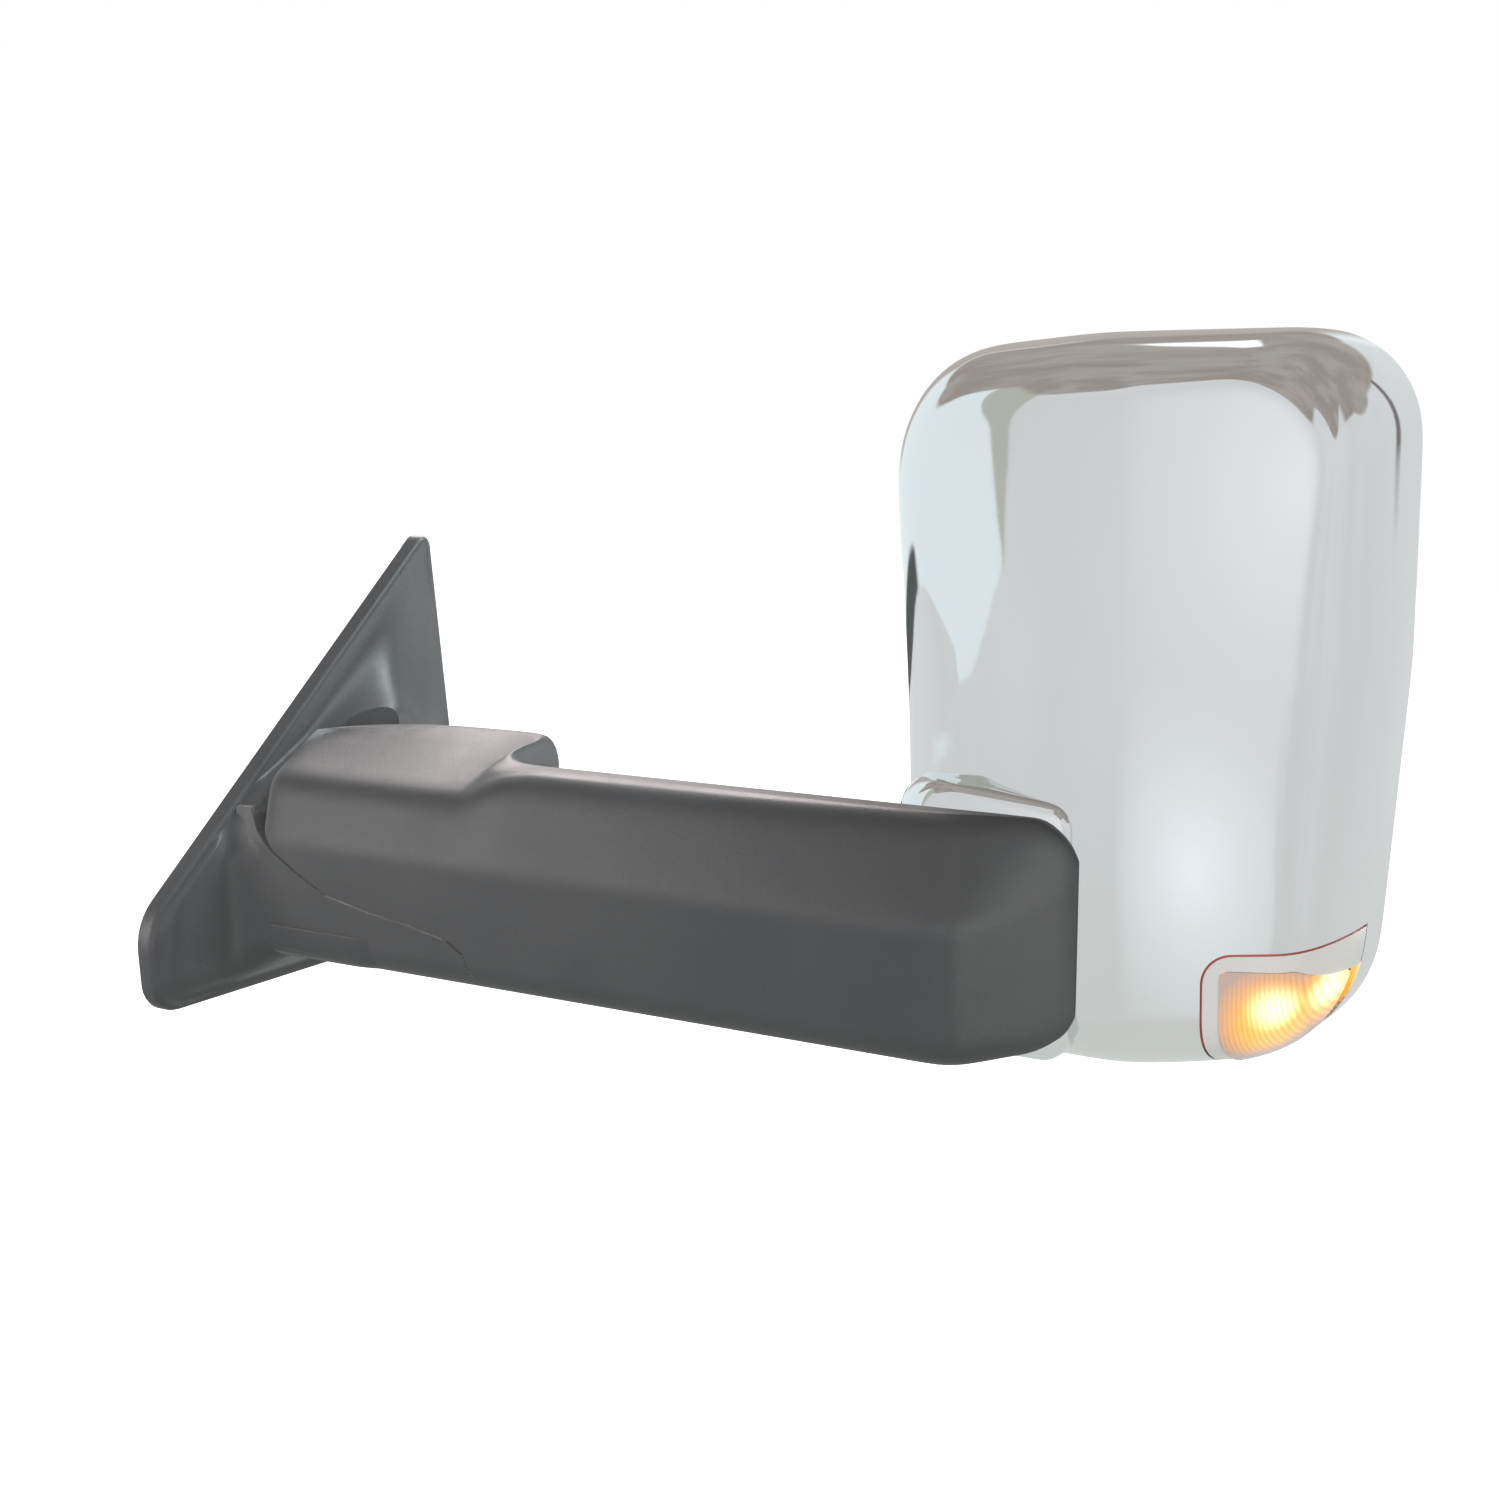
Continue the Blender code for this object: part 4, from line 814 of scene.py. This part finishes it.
def spot(tree, place_, centre, radii):
    """A soft egg-shaped mask about a point, in millimetres."""
    away = add(tree, "ShaderNodeVectorMath", operation="SUBTRACT")
    tree.links.new(place_, away.inputs[0])
    away.inputs[1].default_value = Vector(centre) * MM
    shaped = add(tree, "ShaderNodeVectorMath", operation="DIVIDE")
    tree.links.new(away.outputs["Vector"], shaped.inputs[0])
    shaped.inputs[1].default_value = Vector(radii) * MM
    length = add(tree, "ShaderNodeVectorMath", operation="LENGTH")
    tree.links.new(shaped.outputs["Vector"], length.inputs[0])
    return remap(tree, length.outputs["Value"], 0.0, 1.0, 1.0, 0.0)


def lamp_finish():
    """The lit, ribbed window: a white-hot spot before each bulb, amber round them, pale where it is unlit."""
    material, tree, shader = blank_material("lamp_window")
    lamp = bpy.context.scene.mirror_colours.lamp
    place_ = add(tree, "ShaderNodeTexCoord").outputs["Object"]
    inner = spot(tree, place_, (464, 6, -10), (13, 13, 13))
    outer = spot(tree, place_, (477, 28, -5), (14, 19, 11))
    hot = math_node(tree, "MAXIMUM", inner, outer)
    halo = math_node(tree, "MAXIMUM", spot(tree, place_, (465, 9, -17), (26, 30, 26)),
                     spot(tree, place_, (477, 30, -7), (20, 34, 20)))
    bars = add(tree, "ShaderNodeTexWave", wave_type="BANDS", bands_direction="X", Scale=190.0, Distortion=0.0)
    tree.links.new(place_, bars.inputs["Vector"])
    striped = remap(tree, bars.outputs["Fac"], 0.0, 1.0, 0.72, 1.15)
    pale = blend_colour(tree, remap(tree, halo, 0.05, 0.5, 0.0, 1.0), (0.52, 0.37, 0.31), (0.45, 0.20, 0.05))
    tree.links.new(pale, shader.inputs["Base Color"])
    glow = blend_colour(tree, remap(tree, halo, 0.3, 0.75, 0.0, 1.0), lamp, (0.95, 0.62, 0.12))
    glow = blend_colour(tree, remap(tree, hot, 0.1, 0.6, 0.0, 1.0), glow, (1.0, 0.95, 0.52))
    level = math_node(tree, "ADD", remap(tree, halo, 0.06, 0.5, 0.0, 0.8),
                      math_node(tree, "MULTIPLY", hot, 0.9))
    level = math_node(tree, "MULTIPLY", level, striped)
    lit = add(tree, "ShaderNodeVectorMath", operation="SCALE")
    tree.links.new(glow, lit.inputs[0])
    tree.links.new(level, lit.inputs["Scale"])
    tree.links.new(lit.outputs["Vector"], shader.inputs["Emission Color"])
    shader.inputs["Emission Strength"].default_value = 1.0
    shader.inputs["Roughness"].default_value = 0.14
    shader.inputs["Coat Weight"].default_value = 0.6
    return material


def plain_finish(name, colour, second, roughness, metallic=0.0, coat=0.0, emission=0.0):
    """A smooth surface with faint clouding."""
    material, tree, shader = blank_material(name)
    wear = use_group(tree, "Handling", wear_group, Scale=20.0, Scuffs=90.0)
    tint = blend_colour(tree, wear.outputs["Patches"], colour, second)
    tree.links.new(tint, shader.inputs["Base Color"])
    tree.links.new(remap(tree, wear.outputs["Scuffing"], 0.0, 1.0, roughness, roughness + 0.06),
                   shader.inputs["Roughness"])
    shader.inputs["Metallic"].default_value = metallic
    shader.inputs["Coat Weight"].default_value = coat
    # Emission makes the surface glow with its own tint: the bulbs glow as lamps, the signal liner's glow is
    # painted.
    if emission:
        tree.links.new(tint, shader.inputs["Emission Color"])
        shader.inputs["Emission Strength"].default_value = emission
    return material


def settle(obj, body, material, replaced=(), angle=32):
    """Gives a finished piece its shading and material, and ties it to its CAD body."""
    select_only(obj)
    bpy.ops.object.shade_smooth_by_angle(angle=math.radians(angle))
    obj.data.materials.clear()
    obj.data.materials.append(material)
    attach(obj, body)
    if replaced:
        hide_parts(*replaced)
    deselect_all()
    return obj


# ---------------------------------------------------------------- operators


class MIRROR_OT_chrome_cover(bpy.types.Operator):
    """Models the chromed front shell with its pivot fairing and the opening for the signal"""

    bl_idname = "mirror.chrome_cover"
    bl_label = "Chrome cover"

    def execute(self, context):
        sizes = context.scene.mirror_sizes
        wall = sizes.shell_wall / MM
        shell = dome("chrome_shell", sizes.shell_wall, sizes.around)
        boss = fairing("pivot_fairing", 0.0, 45)
        cut(boss, fairing("fairing_hollow", wall, 48))
        cut(boss, inner_room(wall))
        cut(shell, fairing("fairing_way", wall, 48))
        join(shell, boss)
        cut(shell, rod("hub_hole", "Y", (FLIP_X, FLIP_Z), HUB_RADIUS, -30, 4, 64))
        cut(shell, prism("lens_opening", "Y", fillet(LENS_CORNERS, LENS_RADII, 16), -60, LENS_BACK))
        settle(shell, "head", chrome_finish(), ["chrome_cover"], 28)
        return {"FINISHED"}


def inner_room(wall):
    """The space inside the shell, to cut the fairing back to."""
    outline = head_outline(wall * 0.6, 128)
    rings = []
    for k in range(15):
        scale = DOME_REACH * (k / 14) ** 2
        ring = []
        for x, z in outline:
            px, py, pz = dome_point(x, z, scale)
            ring.append((px, py + wall * 0.6, pz))
        rings.append(ring)
    rings.insert(0, [(x, RIM_Y + 20, z) for x, _, z in rings[0]])
    return skin("inner_room", rings)


class MIRROR_OT_turn_signal(bpy.types.Operator):
    """Models the signal's rim, its ribbed window and the liner that shows in the groove, with a painted glow
    on the liner
    """

    bl_idname = "mirror.turn_signal"
    bl_label = "Turn signal"

    def execute(self, context):
        sizes = context.scene.mirror_sizes
        rim = dome("signal_rim", 2.2 * MM, sizes.around)
        keep(rim, prism("rim_region", "Y", inset(LENS_CORNERS, LENS_RADII, 0.9, 16), -60, LENS_BACK - 0.8))
        cut(rim, prism("rim_opening", "Y", fillet(WINDOW_CORNERS, WINDOW_RADII, 12), -60, 100))
        clear = plain_finish("lens_rim", (0.60, 0.58, 0.56), (0.56, 0.54, 0.51), 0.16, coat=0.8)
        settle(rim, "head", clear, ["turn_signal_lens"])
        settle(self.ribbed_pane(sizes), "head", lamp_finish(), ["turn_signal_lens"], 60)
        liner = dome("signal_liner", 1.0 * MM, sizes.around)
        for vert in liner.data.vertices:
            vert.co.x += (HEAD_MIDDLE[0] * MM - vert.co.x) * 0.012
            vert.co.z += (HEAD_MIDDLE[1] * MM - vert.co.z) * 0.012
            vert.co.y += 0.9 * MM
        outer, inner = [inset(LENS_CORNERS, LENS_RADII, distance, 16) for distance in (0.1, 3.0)]
        keep(liner, prism("liner_region", "Y", outer, -60, LENS_BACK - 1.2))
        cut(liner, prism("liner_opening", "Y", inner, -60, 100))
        # The liner gets a painted glow: emission 0.35 of its own red tint stands in for lamp light in the
        # groove.
        groove = plain_finish("signal_groove_painted_glow", (0.42, 0.10, 0.07), (0.30, 0.06, 0.05), 0.4, emission=0.35)
        settle(liner, "head", groove, ["turn_signal_lens"])
        return {"FINISHED"}

    def ribbed_pane(self, sizes):
        """A fine patch of the shell's surface with ribs pressed in, cut to the window."""
        outline = head_outline(0.0, 2400)
        picked = np.array([(x, z) for x, z in outline if x > PANE_LEFT and z < PANE_TOP])
        columns, rows = 340, 60
        at = np.linspace(0, len(picked) - 1, columns + 1)
        edge = np.column_stack([np.interp(at, np.arange(len(picked)), picked[:, k]) for k in range(2)])
        deselect_all()
        bpy.ops.mesh.primitive_grid_add(x_subdivisions=columns, y_subdivisions=rows, size=1.0)
        pane = bpy.context.object
        pane.name = pane.data.name = "signal_window"
        pitch, depth = sizes.rib_pitch / MM, sizes.rib_depth / MM
        for vert in pane.data.vertices:
            column = min(columns, max(0, round((vert.co.x + 0.5) * columns)))
            share = vert.co.y + 0.5
            x, y, z = dome_point(*edge[column], 0.012 + 0.5 * share)
            rib = 0.5 + 0.5 * math.cos(math.tau * x / pitch)
            vert.co = Vector((x, y + 0.35 + depth * rib, z)) * MM
        run_modifier(pane, "SOLIDIFY", thickness=1.6 * MM, offset=0.0)
        turn_out(pane)
        region = inset(WINDOW_CORNERS, WINDOW_RADII, 0.12, 12)
        keep(pane, prism("pane_region", "Y", region, -60, LENS_BACK - 2))
        return pane


class MIRROR_OT_bezel(bpy.types.Operator):
    """Models the black rear moulding with its lip and the sleeves around both glasses"""

    bl_idname = "mirror.bezel"
    bl_label = "Bezel"

    def execute(self, context):
        steps = [(RIM_Y + 0.4, 2.0), (84, 2.4), (87, 3.0), (89, 3.9), (90.6, 5.2), (91.6, 6.8),
                 (BEZEL_Y, 8.6)]
        bezel = skin("bezel_moulding", [[(x, y, z) for x, z in head_outline(d)] for y, d in steps])
        main = (MAIN_GLASS_LOW - 4, MAIN_GLASS_HIGH + 4, APERTURE_MARGIN)
        low = (SPOTTER_LOW - 2, SPOTTER_HIGH + 2, APERTURE_MARGIN)
        cut(bezel, prism("bezel_hollow", "Y", head_outline(5.2), RIM_Y - 5, 88.8))
        for size, radii in ((main, MAIN_RADII), (low, SPOTTER_RADII)):
            join(bezel, prism("sleeve", "Y", window(*size, radii, -2.4), 60, 90))
        for size, radii in ((main, MAIN_RADII), (low, SPOTTER_RADII)):
            cut(bezel, prism("opening", "Y", window(*size, radii), 50, 100))
        round_edges(bezel, context.scene.mirror_sizes.edge_round, 40, 3)
        settle(bezel, "head", finish("textured_black"), ["bezel"])
        return {"FINISHED"}


class MIRROR_OT_glasses(bpy.types.Operator):
    """Models the flat main glass and the domed spotter glass, with ground edges"""

    bl_idname = "mirror.glasses"
    bl_label = "Glasses"

    def execute(self, context):
        colour = tuple(context.scene.mirror_colours.glass[:3])
        silver = plain_finish("mirror_glass", colour, tuple(c * 0.98 for c in colour), 0.015, metallic=1.0)
        steps = [(82.6, 0.3), (82.9, 0.0), (84.6, 0.0), (85.0, 0.35), (85.2, 1.1)]
        size = (MAIN_GLASS_LOW, MAIN_GLASS_HIGH, GLASS_MARGIN)
        rings = [[(x, y, z) for x, z in window(*size, MAIN_RADII, d, 16)] for y, d in steps]
        main = skin("main_glass_pane", rings)
        settle(main, "glass", silver, ["main_glass"], 20)
        size = (SPOTTER_LOW + 2, SPOTTER_HIGH - 2, APERTURE_MARGIN + 1.6)
        count = 160
        outline = resample(window(*size, SPOTTER_RADII, 0.0, 16), count)
        middle = outline.mean(0)
        rings = [[(x, y, z) for x, z in outline] for y in (77.5, 79.3)]
        for k in range(13):
            scale = 0.01 + 0.62 * (k / 12) ** 1.3
            y = SPOTTER_RIM_Y + SPOTTER_BULGE * (1 - (1 - scale) ** 2)
            rings.append([(x + (middle[0] - x) * scale, y, z + (middle[1] - z) * scale) for x, z in outline])
        low = skin("spotter_glass_pane", rings, last="grid")
        bearings = [math.atan2(z - middle[1], x - middle[0]) for x, z in outline]
        for vert in low.data.vertices[len(rings) * count:]:
            across, up = vert.co.x / MM - middle[0], vert.co.z / MM - middle[1]
            turn = math.atan2(up, across)
            nearest = min(range(count), key=lambda i: abs(bearings[i] - turn))
            share = min(math.hypot(across, up) / np.linalg.norm(outline[nearest] - middle), 0.38)
            vert.co.y = (SPOTTER_RIM_Y + SPOTTER_BULGE * (1 - share ** 2)) * MM
        settle(low, "head", silver, ["spotter_glass"], 40)
        return {"FINISHED"}


class MIRROR_OT_arm_cover(bpy.types.Operator):
    """Models the arm's moulded skin from the drum end to its bevelled tip"""

    bl_idname = "mirror.arm_cover"
    bl_label = "Arm cover"

    def execute(self, context):
        wall = context.scene.mirror_sizes.arm_wall / MM
        cover = skin("arm_skin", ease(dense(arm_sections(0.0), 3.0, 108), 2, 3))
        hollow = skin("arm_hollow", arm_sections(wall))
        room = DRUM_RADIUS + DRUM_CLEARANCE
        cut(cover, rod("shelf_room", "Z", (FOLD_X, FOLD_Y), room, -60, SHELF_TOP + 0.5, 96))
        for gap, start, end in ((0.7, -100, -25.5), (0.8, -30, FOLD_Y)):
            lip = prism("lip_room", "Y", [(x + gap, z + gap) for x, z in SEAM], start, end)
            if end == FOLD_Y:
                keep(lip, block("left_half", (0, -100, -100), (FOLD_X, 100, 100)))
            cut(cover, lip)
        cut(cover, block("left_end", (0, FOLD_Y - 5, -70), (FOLD_X - 24, 60, 31)), hollow)
        cut(cover, prism("panel_opening", "Y", panel_outline(0), -24, 10))
        settle(cover, "arm", finish("textured_black"), ["arm_cover"])
        return {"FINISHED"}


class MIRROR_OT_arm_panel(bpy.types.Operator):
    """Models the panel that closes the arm behind, with a raised border and screw holes"""

    bl_idname = "mirror.arm_panel"
    bl_label = "Arm rear panel"

    def execute(self, context):
        panel = prism("arm_panel", "Y", panel_outline(0.5), ARM_BACK - 2.8, ARM_BACK - 0.05)
        cut(panel, rod("boss_hole", "Y", (FLIP_X, FLIP_Z), BOSS_RADIUS + 1.5, -30, 10, 72))
        cut(panel, *[rod("screw_hole", "Y", centre, 2.3, -30, 10, 24) for centre in PANEL_SCREWS])
        for x in (182, 222, 262):
            cut(panel, block("recess", (x, ARM_BACK - 0.8, -20), (x + 30, ARM_BACK + 1, 40)))
        round_edges(panel, 0.4 * MM, 40, 2)
        settle(panel, "arm", finish("textured_black"), ["arm_rear_panel"])
        return {"FINISHED"}


class MIRROR_OT_panel_screws(bpy.types.Operator):
    """Models one cross-recessed screw and copies it to the panel's four corners"""

    bl_idname = "mirror.panel_screws"
    bl_label = "Panel screws"

    def execute(self, context):
        steps = [(-17.0, 0.5), (-15.6, 1.6), (-9.7, 1.6), (-9.7, 3.5), (-9.0, 3.6), (-8.6, 3.45),
                 (-8.2, 2.9), (-7.95, 1.8)]
        rings = [[(a, h, b) for a, b in circle((0, 0), r, 32)] for h, r in steps]
        master = skin("screw_master", rings)
        for half_x, half_z in ((1.9, 0.34), (0.34, 1.9)):
            cut(master, block("recess", (-half_x, -8.9, -half_z), (half_x, -5, half_z)))
        for number, (x, z) in enumerate(PANEL_SCREWS):
            screw = duplicate(master, f"panel_screw_head_{number + 1}")
            select_only(screw)
            screw.location = Vector((x, 0, z)) * MM
            bpy.ops.object.transform_apply(location=True, rotation=True, scale=True)
            settle(screw, "arm", finish("zinc_steel"), [f"panel_screw_{number + 1}"])
        bpy.data.objects.remove(master, do_unlink=True)
        return {"FINISHED"}


class MIRROR_OT_sail_cover(bpy.types.Operator):
    """Models the moulded skin on the door: its edge, pad and flare, the bowl and the shelf under the drum"""

    bl_idname = "mirror.sail_cover"
    bl_label = "Sail cover"

    def execute(self, context):
        rings = sail_rings()
        cover = skin("sail_skin", rings, last="grid")
        start = len(rings) * len(rings[0])
        verts = cover.data.vertices
        points = np.array([(v.co.y / MM, v.co.z / MM) for v in verts])
        height = sail_height(points[start:])
        for vert, x in zip(verts[start:], height):
            vert.co.x = x * MM
        bm = edit(cover)
        for vert in bm.verts:
            vert.select = vert.index >= start
        bm.select_flush_mode()
        bmesh.update_edit_mesh(cover.data)
        bpy.ops.mesh.vertices_smooth(factor=0.5, repeat=14, xaxis=True, yaxis=False, zaxis=False)
        bpy.ops.object.mode_set(mode="OBJECT")
        lip_sections = [arm_section(x, ARM_FRONT, 0, ARM_BOTTOM, DRUM_TOP_FRONT, DRUM_TOP_BACK, 5, 0)
                        for x in (9, 150)]
        lip = skin("bowl_lip", ease(dense(lip_sections, 4.0, 100), 2, 0))
        keep(lip, prism("bowl_seam", "Y", SEAM, -100, -27))
        steps = [(SHELF_TOP, 1.4), (-30, 2.2), (-33.5, 4.0), (-36, 7.0), (SHELF_BOTTOM, 13.0)]
        shelf = skin("shelf_tongue", [[(x, y, z) for x, y in shelf_outline(d)] for z, d in steps])
        plate_hollow = prism("sail_hollow", "X", inset(SAIL_CORNERS, SAIL_RADII, 4), -2, EDGE_HEIGHT - 2.6)
        shelf_hollow = prism("shelf_hollow", "Z", shelf_outline(8), SHELF_BOTTOM + 2.8, SHELF_TOP - 2.6)
        join(cover, lip)
        cut(cover, drum_room())
        cut(cover, rod("bowl_floor", "Z", (FOLD_X, FOLD_Y), BOWL_RADIUS, SHELF_TOP - 1.5, 40, 96))
        join(cover, shelf)
        cut(cover, plate_hollow, shelf_hollow)
        cut(cover, block("neck_way", (-2, -37, SHELF_BOTTOM + 3.2), (36, 27, SHELF_TOP - 3.0)))
        cut(cover, rod("seat_hole", "Z", (FOLD_X, FOLD_Y), SEAT_RADIUS, SHELF_TOP - 6, SHELF_TOP + 6, 64))
        settle(cover, "base", finish("textured_black"), ["sail_cover"])
        return {"FINISHED"}


class MIRROR_OT_hardware(bpy.types.Operator):
    """Gives each remaining part of the frame the finish of its own material"""

    bl_idname = "mirror.hardware"
    bl_label = "Hardware finishes"

    def execute(self, context):
        amber = plain_finish("bulb_glass", (1.0, 0.55, 0.12), (1.0, 0.48, 0.08), 0.1, coat=0.5, emission=2.0)
        for node in frame["nodes"].values():
            if node.hide_render:
                continue
            slot = node.data.materials[0].name.split(".")[0]
            material = amber if slot == "bulb_glass" else finish(slot)
            for one in node.material_slots:
                one.material = material
        return {"FINISHED"}


class MIRROR_OT_stage(bpy.types.Operator):
    """Sets out the pale floor, the soft lights, the cards that the chrome reflects, and the camera"""

    bl_idname = "mirror.stage"
    bl_label = "Stage"

    def execute(self, context):
        self.floor()
        self.world(context)
        self.lights(context)
        self.camera(context)
        return {"FINISHED"}

    def floor(self):
        deselect_all()
        bpy.ops.mesh.primitive_plane_add(size=14.0, location=(0.2, 0.0, FLOOR_HEIGHT))
        plane = bpy.context.object
        plane.name = "floor"
        material, tree, shader = blank_material("floor_paper")
        paper = noise(tree, add(tree, "ShaderNodeTexCoord").outputs["Object"], 3.0)
        tint = blend_colour(tree, paper, (0.80, 0.80, 0.80), (0.84, 0.84, 0.84))
        tree.links.new(tint, shader.inputs["Base Color"])
        shader.inputs["Roughness"].default_value = 0.9
        shader.inputs["Emission Color"].default_value = (1, 1, 1, 1)
        shader.inputs["Emission Strength"].default_value = 1.0
        plane.data.materials.append(material)
        plane.visible_glossy = False
        plane.visible_diffuse = False

    def world(self, context):
        """A pale room by direction: up is the height of a direction, turn its angle round from the front."""
        world = bpy.data.worlds.new("room")
        context.scene.world = world
        world.use_nodes = True
        tree = world.node_tree
        way = add(tree, "ShaderNodeTexCoord").outputs["Generated"]
        split = add(tree, "ShaderNodeSeparateXYZ")
        tree.links.new(way, split.inputs[0])

        def calc(operation, *values):
            return math_node(tree, operation, *values)

        def ramp(value, low, high, new_low=0.0, new_high=1.0):
            return remap(tree, value, low, high, new_low, new_high)

        def near(value, middle, half, fade):
            """A mask of the values within half of the middle, fading out beyond."""
            away = calc("ABSOLUTE", calc("SUBTRACT", value, middle))
            return ramp(away, half, half + fade, 1.0, 0.0)

        def patch(under, colour, *masks):
            """Lays a colour over what is under it where all the masks meet."""
            mask = masks[0]
            for one in masks[1:]:
                mask = calc("MULTIPLY", mask, one)
            return blend_colour(tree, mask, under, colour)

        up = split.outputs["Z"]
        turn = calc("ARCTAN2", split.outputs["X"], calc("MULTIPLY", split.outputs["Y"], -1.0))
        turn = calc("MULTIPLY", turn, 180 / math.pi)

        # The front card, with two soft glows in it.
        clouds = ramp(noise(tree, way, 1.6, 2.0), 0.35, 0.65)
        room = blend_colour(tree, clouds, (0.74, 0.75, 0.75), (0.79, 0.81, 0.82))
        room = patch(room, (0.69, 0.72, 0.69), ramp(up, -0.5, -0.1, 1.0, 0.0))
        glows = ((-2, 0.06, 16, (0.97, 0.98, 1.0)), (-10, -0.27, 8, (1.03, 1.09, 1.11)))
        for azimuth, rise, reach, colour in glows:
            across = calc("DIVIDE", calc("SUBTRACT", turn, azimuth), reach)
            along = calc("DIVIDE", calc("SUBTRACT", up, rise), reach / 70)
            away = calc("SQRT", calc("ADD", calc("POWER", across, 2.0), calc("POWER", along, 2.0)))
            room = patch(room, colour, calc("POWER", ramp(away, 0.0, 1.7, 1.0, 0.0), 1.5))

        # The card's left edge runs straight down, then sweeps out to the door side just above the floor.
        low = calc("MAXIMUM", calc("SUBTRACT", -0.02, up), 0.0)
        sweep = calc("MULTIPLY", calc("POWER", calc("DIVIDE", low, 0.115), 20.0), 55.0)
        lean = calc("ADD", calc("MULTIPLY", low, 70.0), calc("MINIMUM", sweep, 130.0))
        beside = calc("SUBTRACT", calc("SUBTRACT", -53.0, lean), turn)
        left = calc("MULTIPLY", ramp(beside, -0.4, 0.4), ramp(turn, -176, -172))

        # The door side: a paler card, its brown foot, the dark doorway, a shelf and the wedge by the edge.
        room = patch(room, (0.88, 0.95, 0.96), left)
        inboard = ramp(turn, -88, -82, 1.0, 0.0)
        room = patch(room, (0.47, 0.42, 0.38), near(up, -0.150, 0.008, 0.006), inboard, left)
        inboard = ramp(turn, -112, -106, 1.0, 0.0)
        room = patch(room, (0.10, 0.11, 0.11), near(up, -0.13, 0.022, 0.006), inboard, left)
        room = patch(room, (0.50, 0.46, 0.43), near(turn, -152, 14, 5), near(up, 0.2, 0.17, 0.05))
        width = calc("MULTIPLY", calc("MAXIMUM", calc("ADD", up, 0.03), 0.0), 42.0)
        wedge = ramp(calc("SUBTRACT", beside, width), -0.3, 0.3, 1.0, 0.0)
        room = patch(room, (0.54, 0.55, 0.50), left, wedge)

        # Behind: a dark post, the wavy edge of a murky ceiling, and a bright slit in it.
        room = patch(room, (0.22, 0.20, 0.20), near(turn, 157.5, 0.8, 0.8), ramp(up, -0.06, 0.02))
        wave = calc("MULTIPLY", calc("SINE", calc("MULTIPLY", turn, 0.105)), -0.13)
        behind = calc("MULTIPLY", ramp(calc("ABSOLUTE", turn), 100, 108), ramp(up, 0.39, 0.42))
        above = calc("MAXIMUM", ramp(calc("SUBTRACT", up, wave), 0.43, 0.47), behind)
        stain = ramp(noise(tree, way, 3.5, 3.0), 0.4, 0.6)
        room = patch(room, blend_colour(tree, stain, (0.38, 0.34, 0.31), (0.46, 0.43, 0.40)), above)
        room = patch(room, (1.35, 1.38, 1.36), near(turn, -156.5, 2.5, 1.5), near(up, 0.66, 0.08, 0.04))

        path = add(tree, "ShaderNodeLightPath")
        room = patch(room, (0.56, 0.57, 0.58), path.outputs["Is Diffuse Ray"])
        room = patch(room, (1.0, 1.0, 1.0), path.outputs["Is Camera Ray"])
        tree.links.new(room, tree.nodes["Background"].inputs["Color"])

    def lights(self, context):
        """Soft lamps that give the moulded plastic its sheen; the plated shell shows the room alone."""
        matt = bpy.data.collections.new("lit_by_lamps")
        for obj in context.scene.objects:
            if obj.type == "MESH" and obj.name != "chrome_shell":
                matt.objects.link(obj)
            if body_of(obj) in (["arm"], ["base"]):
                obj.visible_glossy = False
        for name, spot_, aim, size, power, colour in LAMPS:
            bpy.ops.object.light_add(type="AREA", location=spot_)
            lamp = bpy.context.object
            lamp.name = name
            lamp.rotation_euler = (Vector(spot_) - Vector(aim)).to_track_quat("Z", "Y").to_euler()
            lamp.data.shape = "RECTANGLE"
            lamp.data.size, lamp.data.size_y = size
            lamp.data.energy = power
            lamp.data.color = colour
            lamp.light_linking.receiver_collection = matt

    def camera(self, context):
        turn, rise = math.radians(CAMERA_TURN), math.radians(CAMERA_RISE)
        back = Vector((math.sin(turn) * math.cos(rise), -math.cos(turn) * math.cos(rise), math.sin(rise)))
        facing = back.to_track_quat("Z", "Y").to_euler()
        bpy.ops.object.camera_add(location=CAMERA_PLACE, rotation=facing)
        camera = bpy.context.object
        camera.name = "camera"
        camera.data.lens = CAMERA_LENS
        camera.data.sensor_width = SENSOR_WIDTH
        camera.data.clip_start = 0.01
        context.scene.camera = camera
        context.scene.view_settings.view_transform = "Standard"


STEPS = (MIRROR_OT_sail_cover, MIRROR_OT_arm_cover, MIRROR_OT_arm_panel, MIRROR_OT_panel_screws,
         MIRROR_OT_chrome_cover, MIRROR_OT_turn_signal, MIRROR_OT_bezel, MIRROR_OT_glasses,
         MIRROR_OT_hardware, MIRROR_OT_stage)


class MIRROR_PT_panel(bpy.types.Panel):
    bl_label = "Towing mirror"
    bl_idname = "MIRROR_PT_panel"
    bl_space_type = "VIEW_3D"
    bl_region_type = "UI"
    bl_category = "Mirror"

    def draw(self, context):
        layout = self.layout
        for group in (context.scene.mirror_sizes, context.scene.mirror_colours):
            for key in group.bl_rna.properties.keys():
                if key not in ("rna_type", "name"):
                    layout.prop(group, key)
        for step in STEPS:
            layout.operator(step.bl_idname)


CLASSES = (MirrorSizes, MirrorColours, *STEPS, MIRROR_PT_panel)


def register():
    for one in CLASSES:
        bpy.utils.register_class(one)
    bpy.types.Scene.mirror_sizes = PointerProperty(type=MirrorSizes)
    bpy.types.Scene.mirror_colours = PointerProperty(type=MirrorColours)


def unregister():
    del bpy.types.Scene.mirror_colours
    del bpy.types.Scene.mirror_sizes
    for one in reversed(CLASSES):
        bpy.utils.unregister_class(one)


def main():
    register()
    for step in STEPS:
        group, action = step.bl_idname.split(".")
        getattr(getattr(bpy.ops, group), action)()
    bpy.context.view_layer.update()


if __name__ == "__main__":
    main()
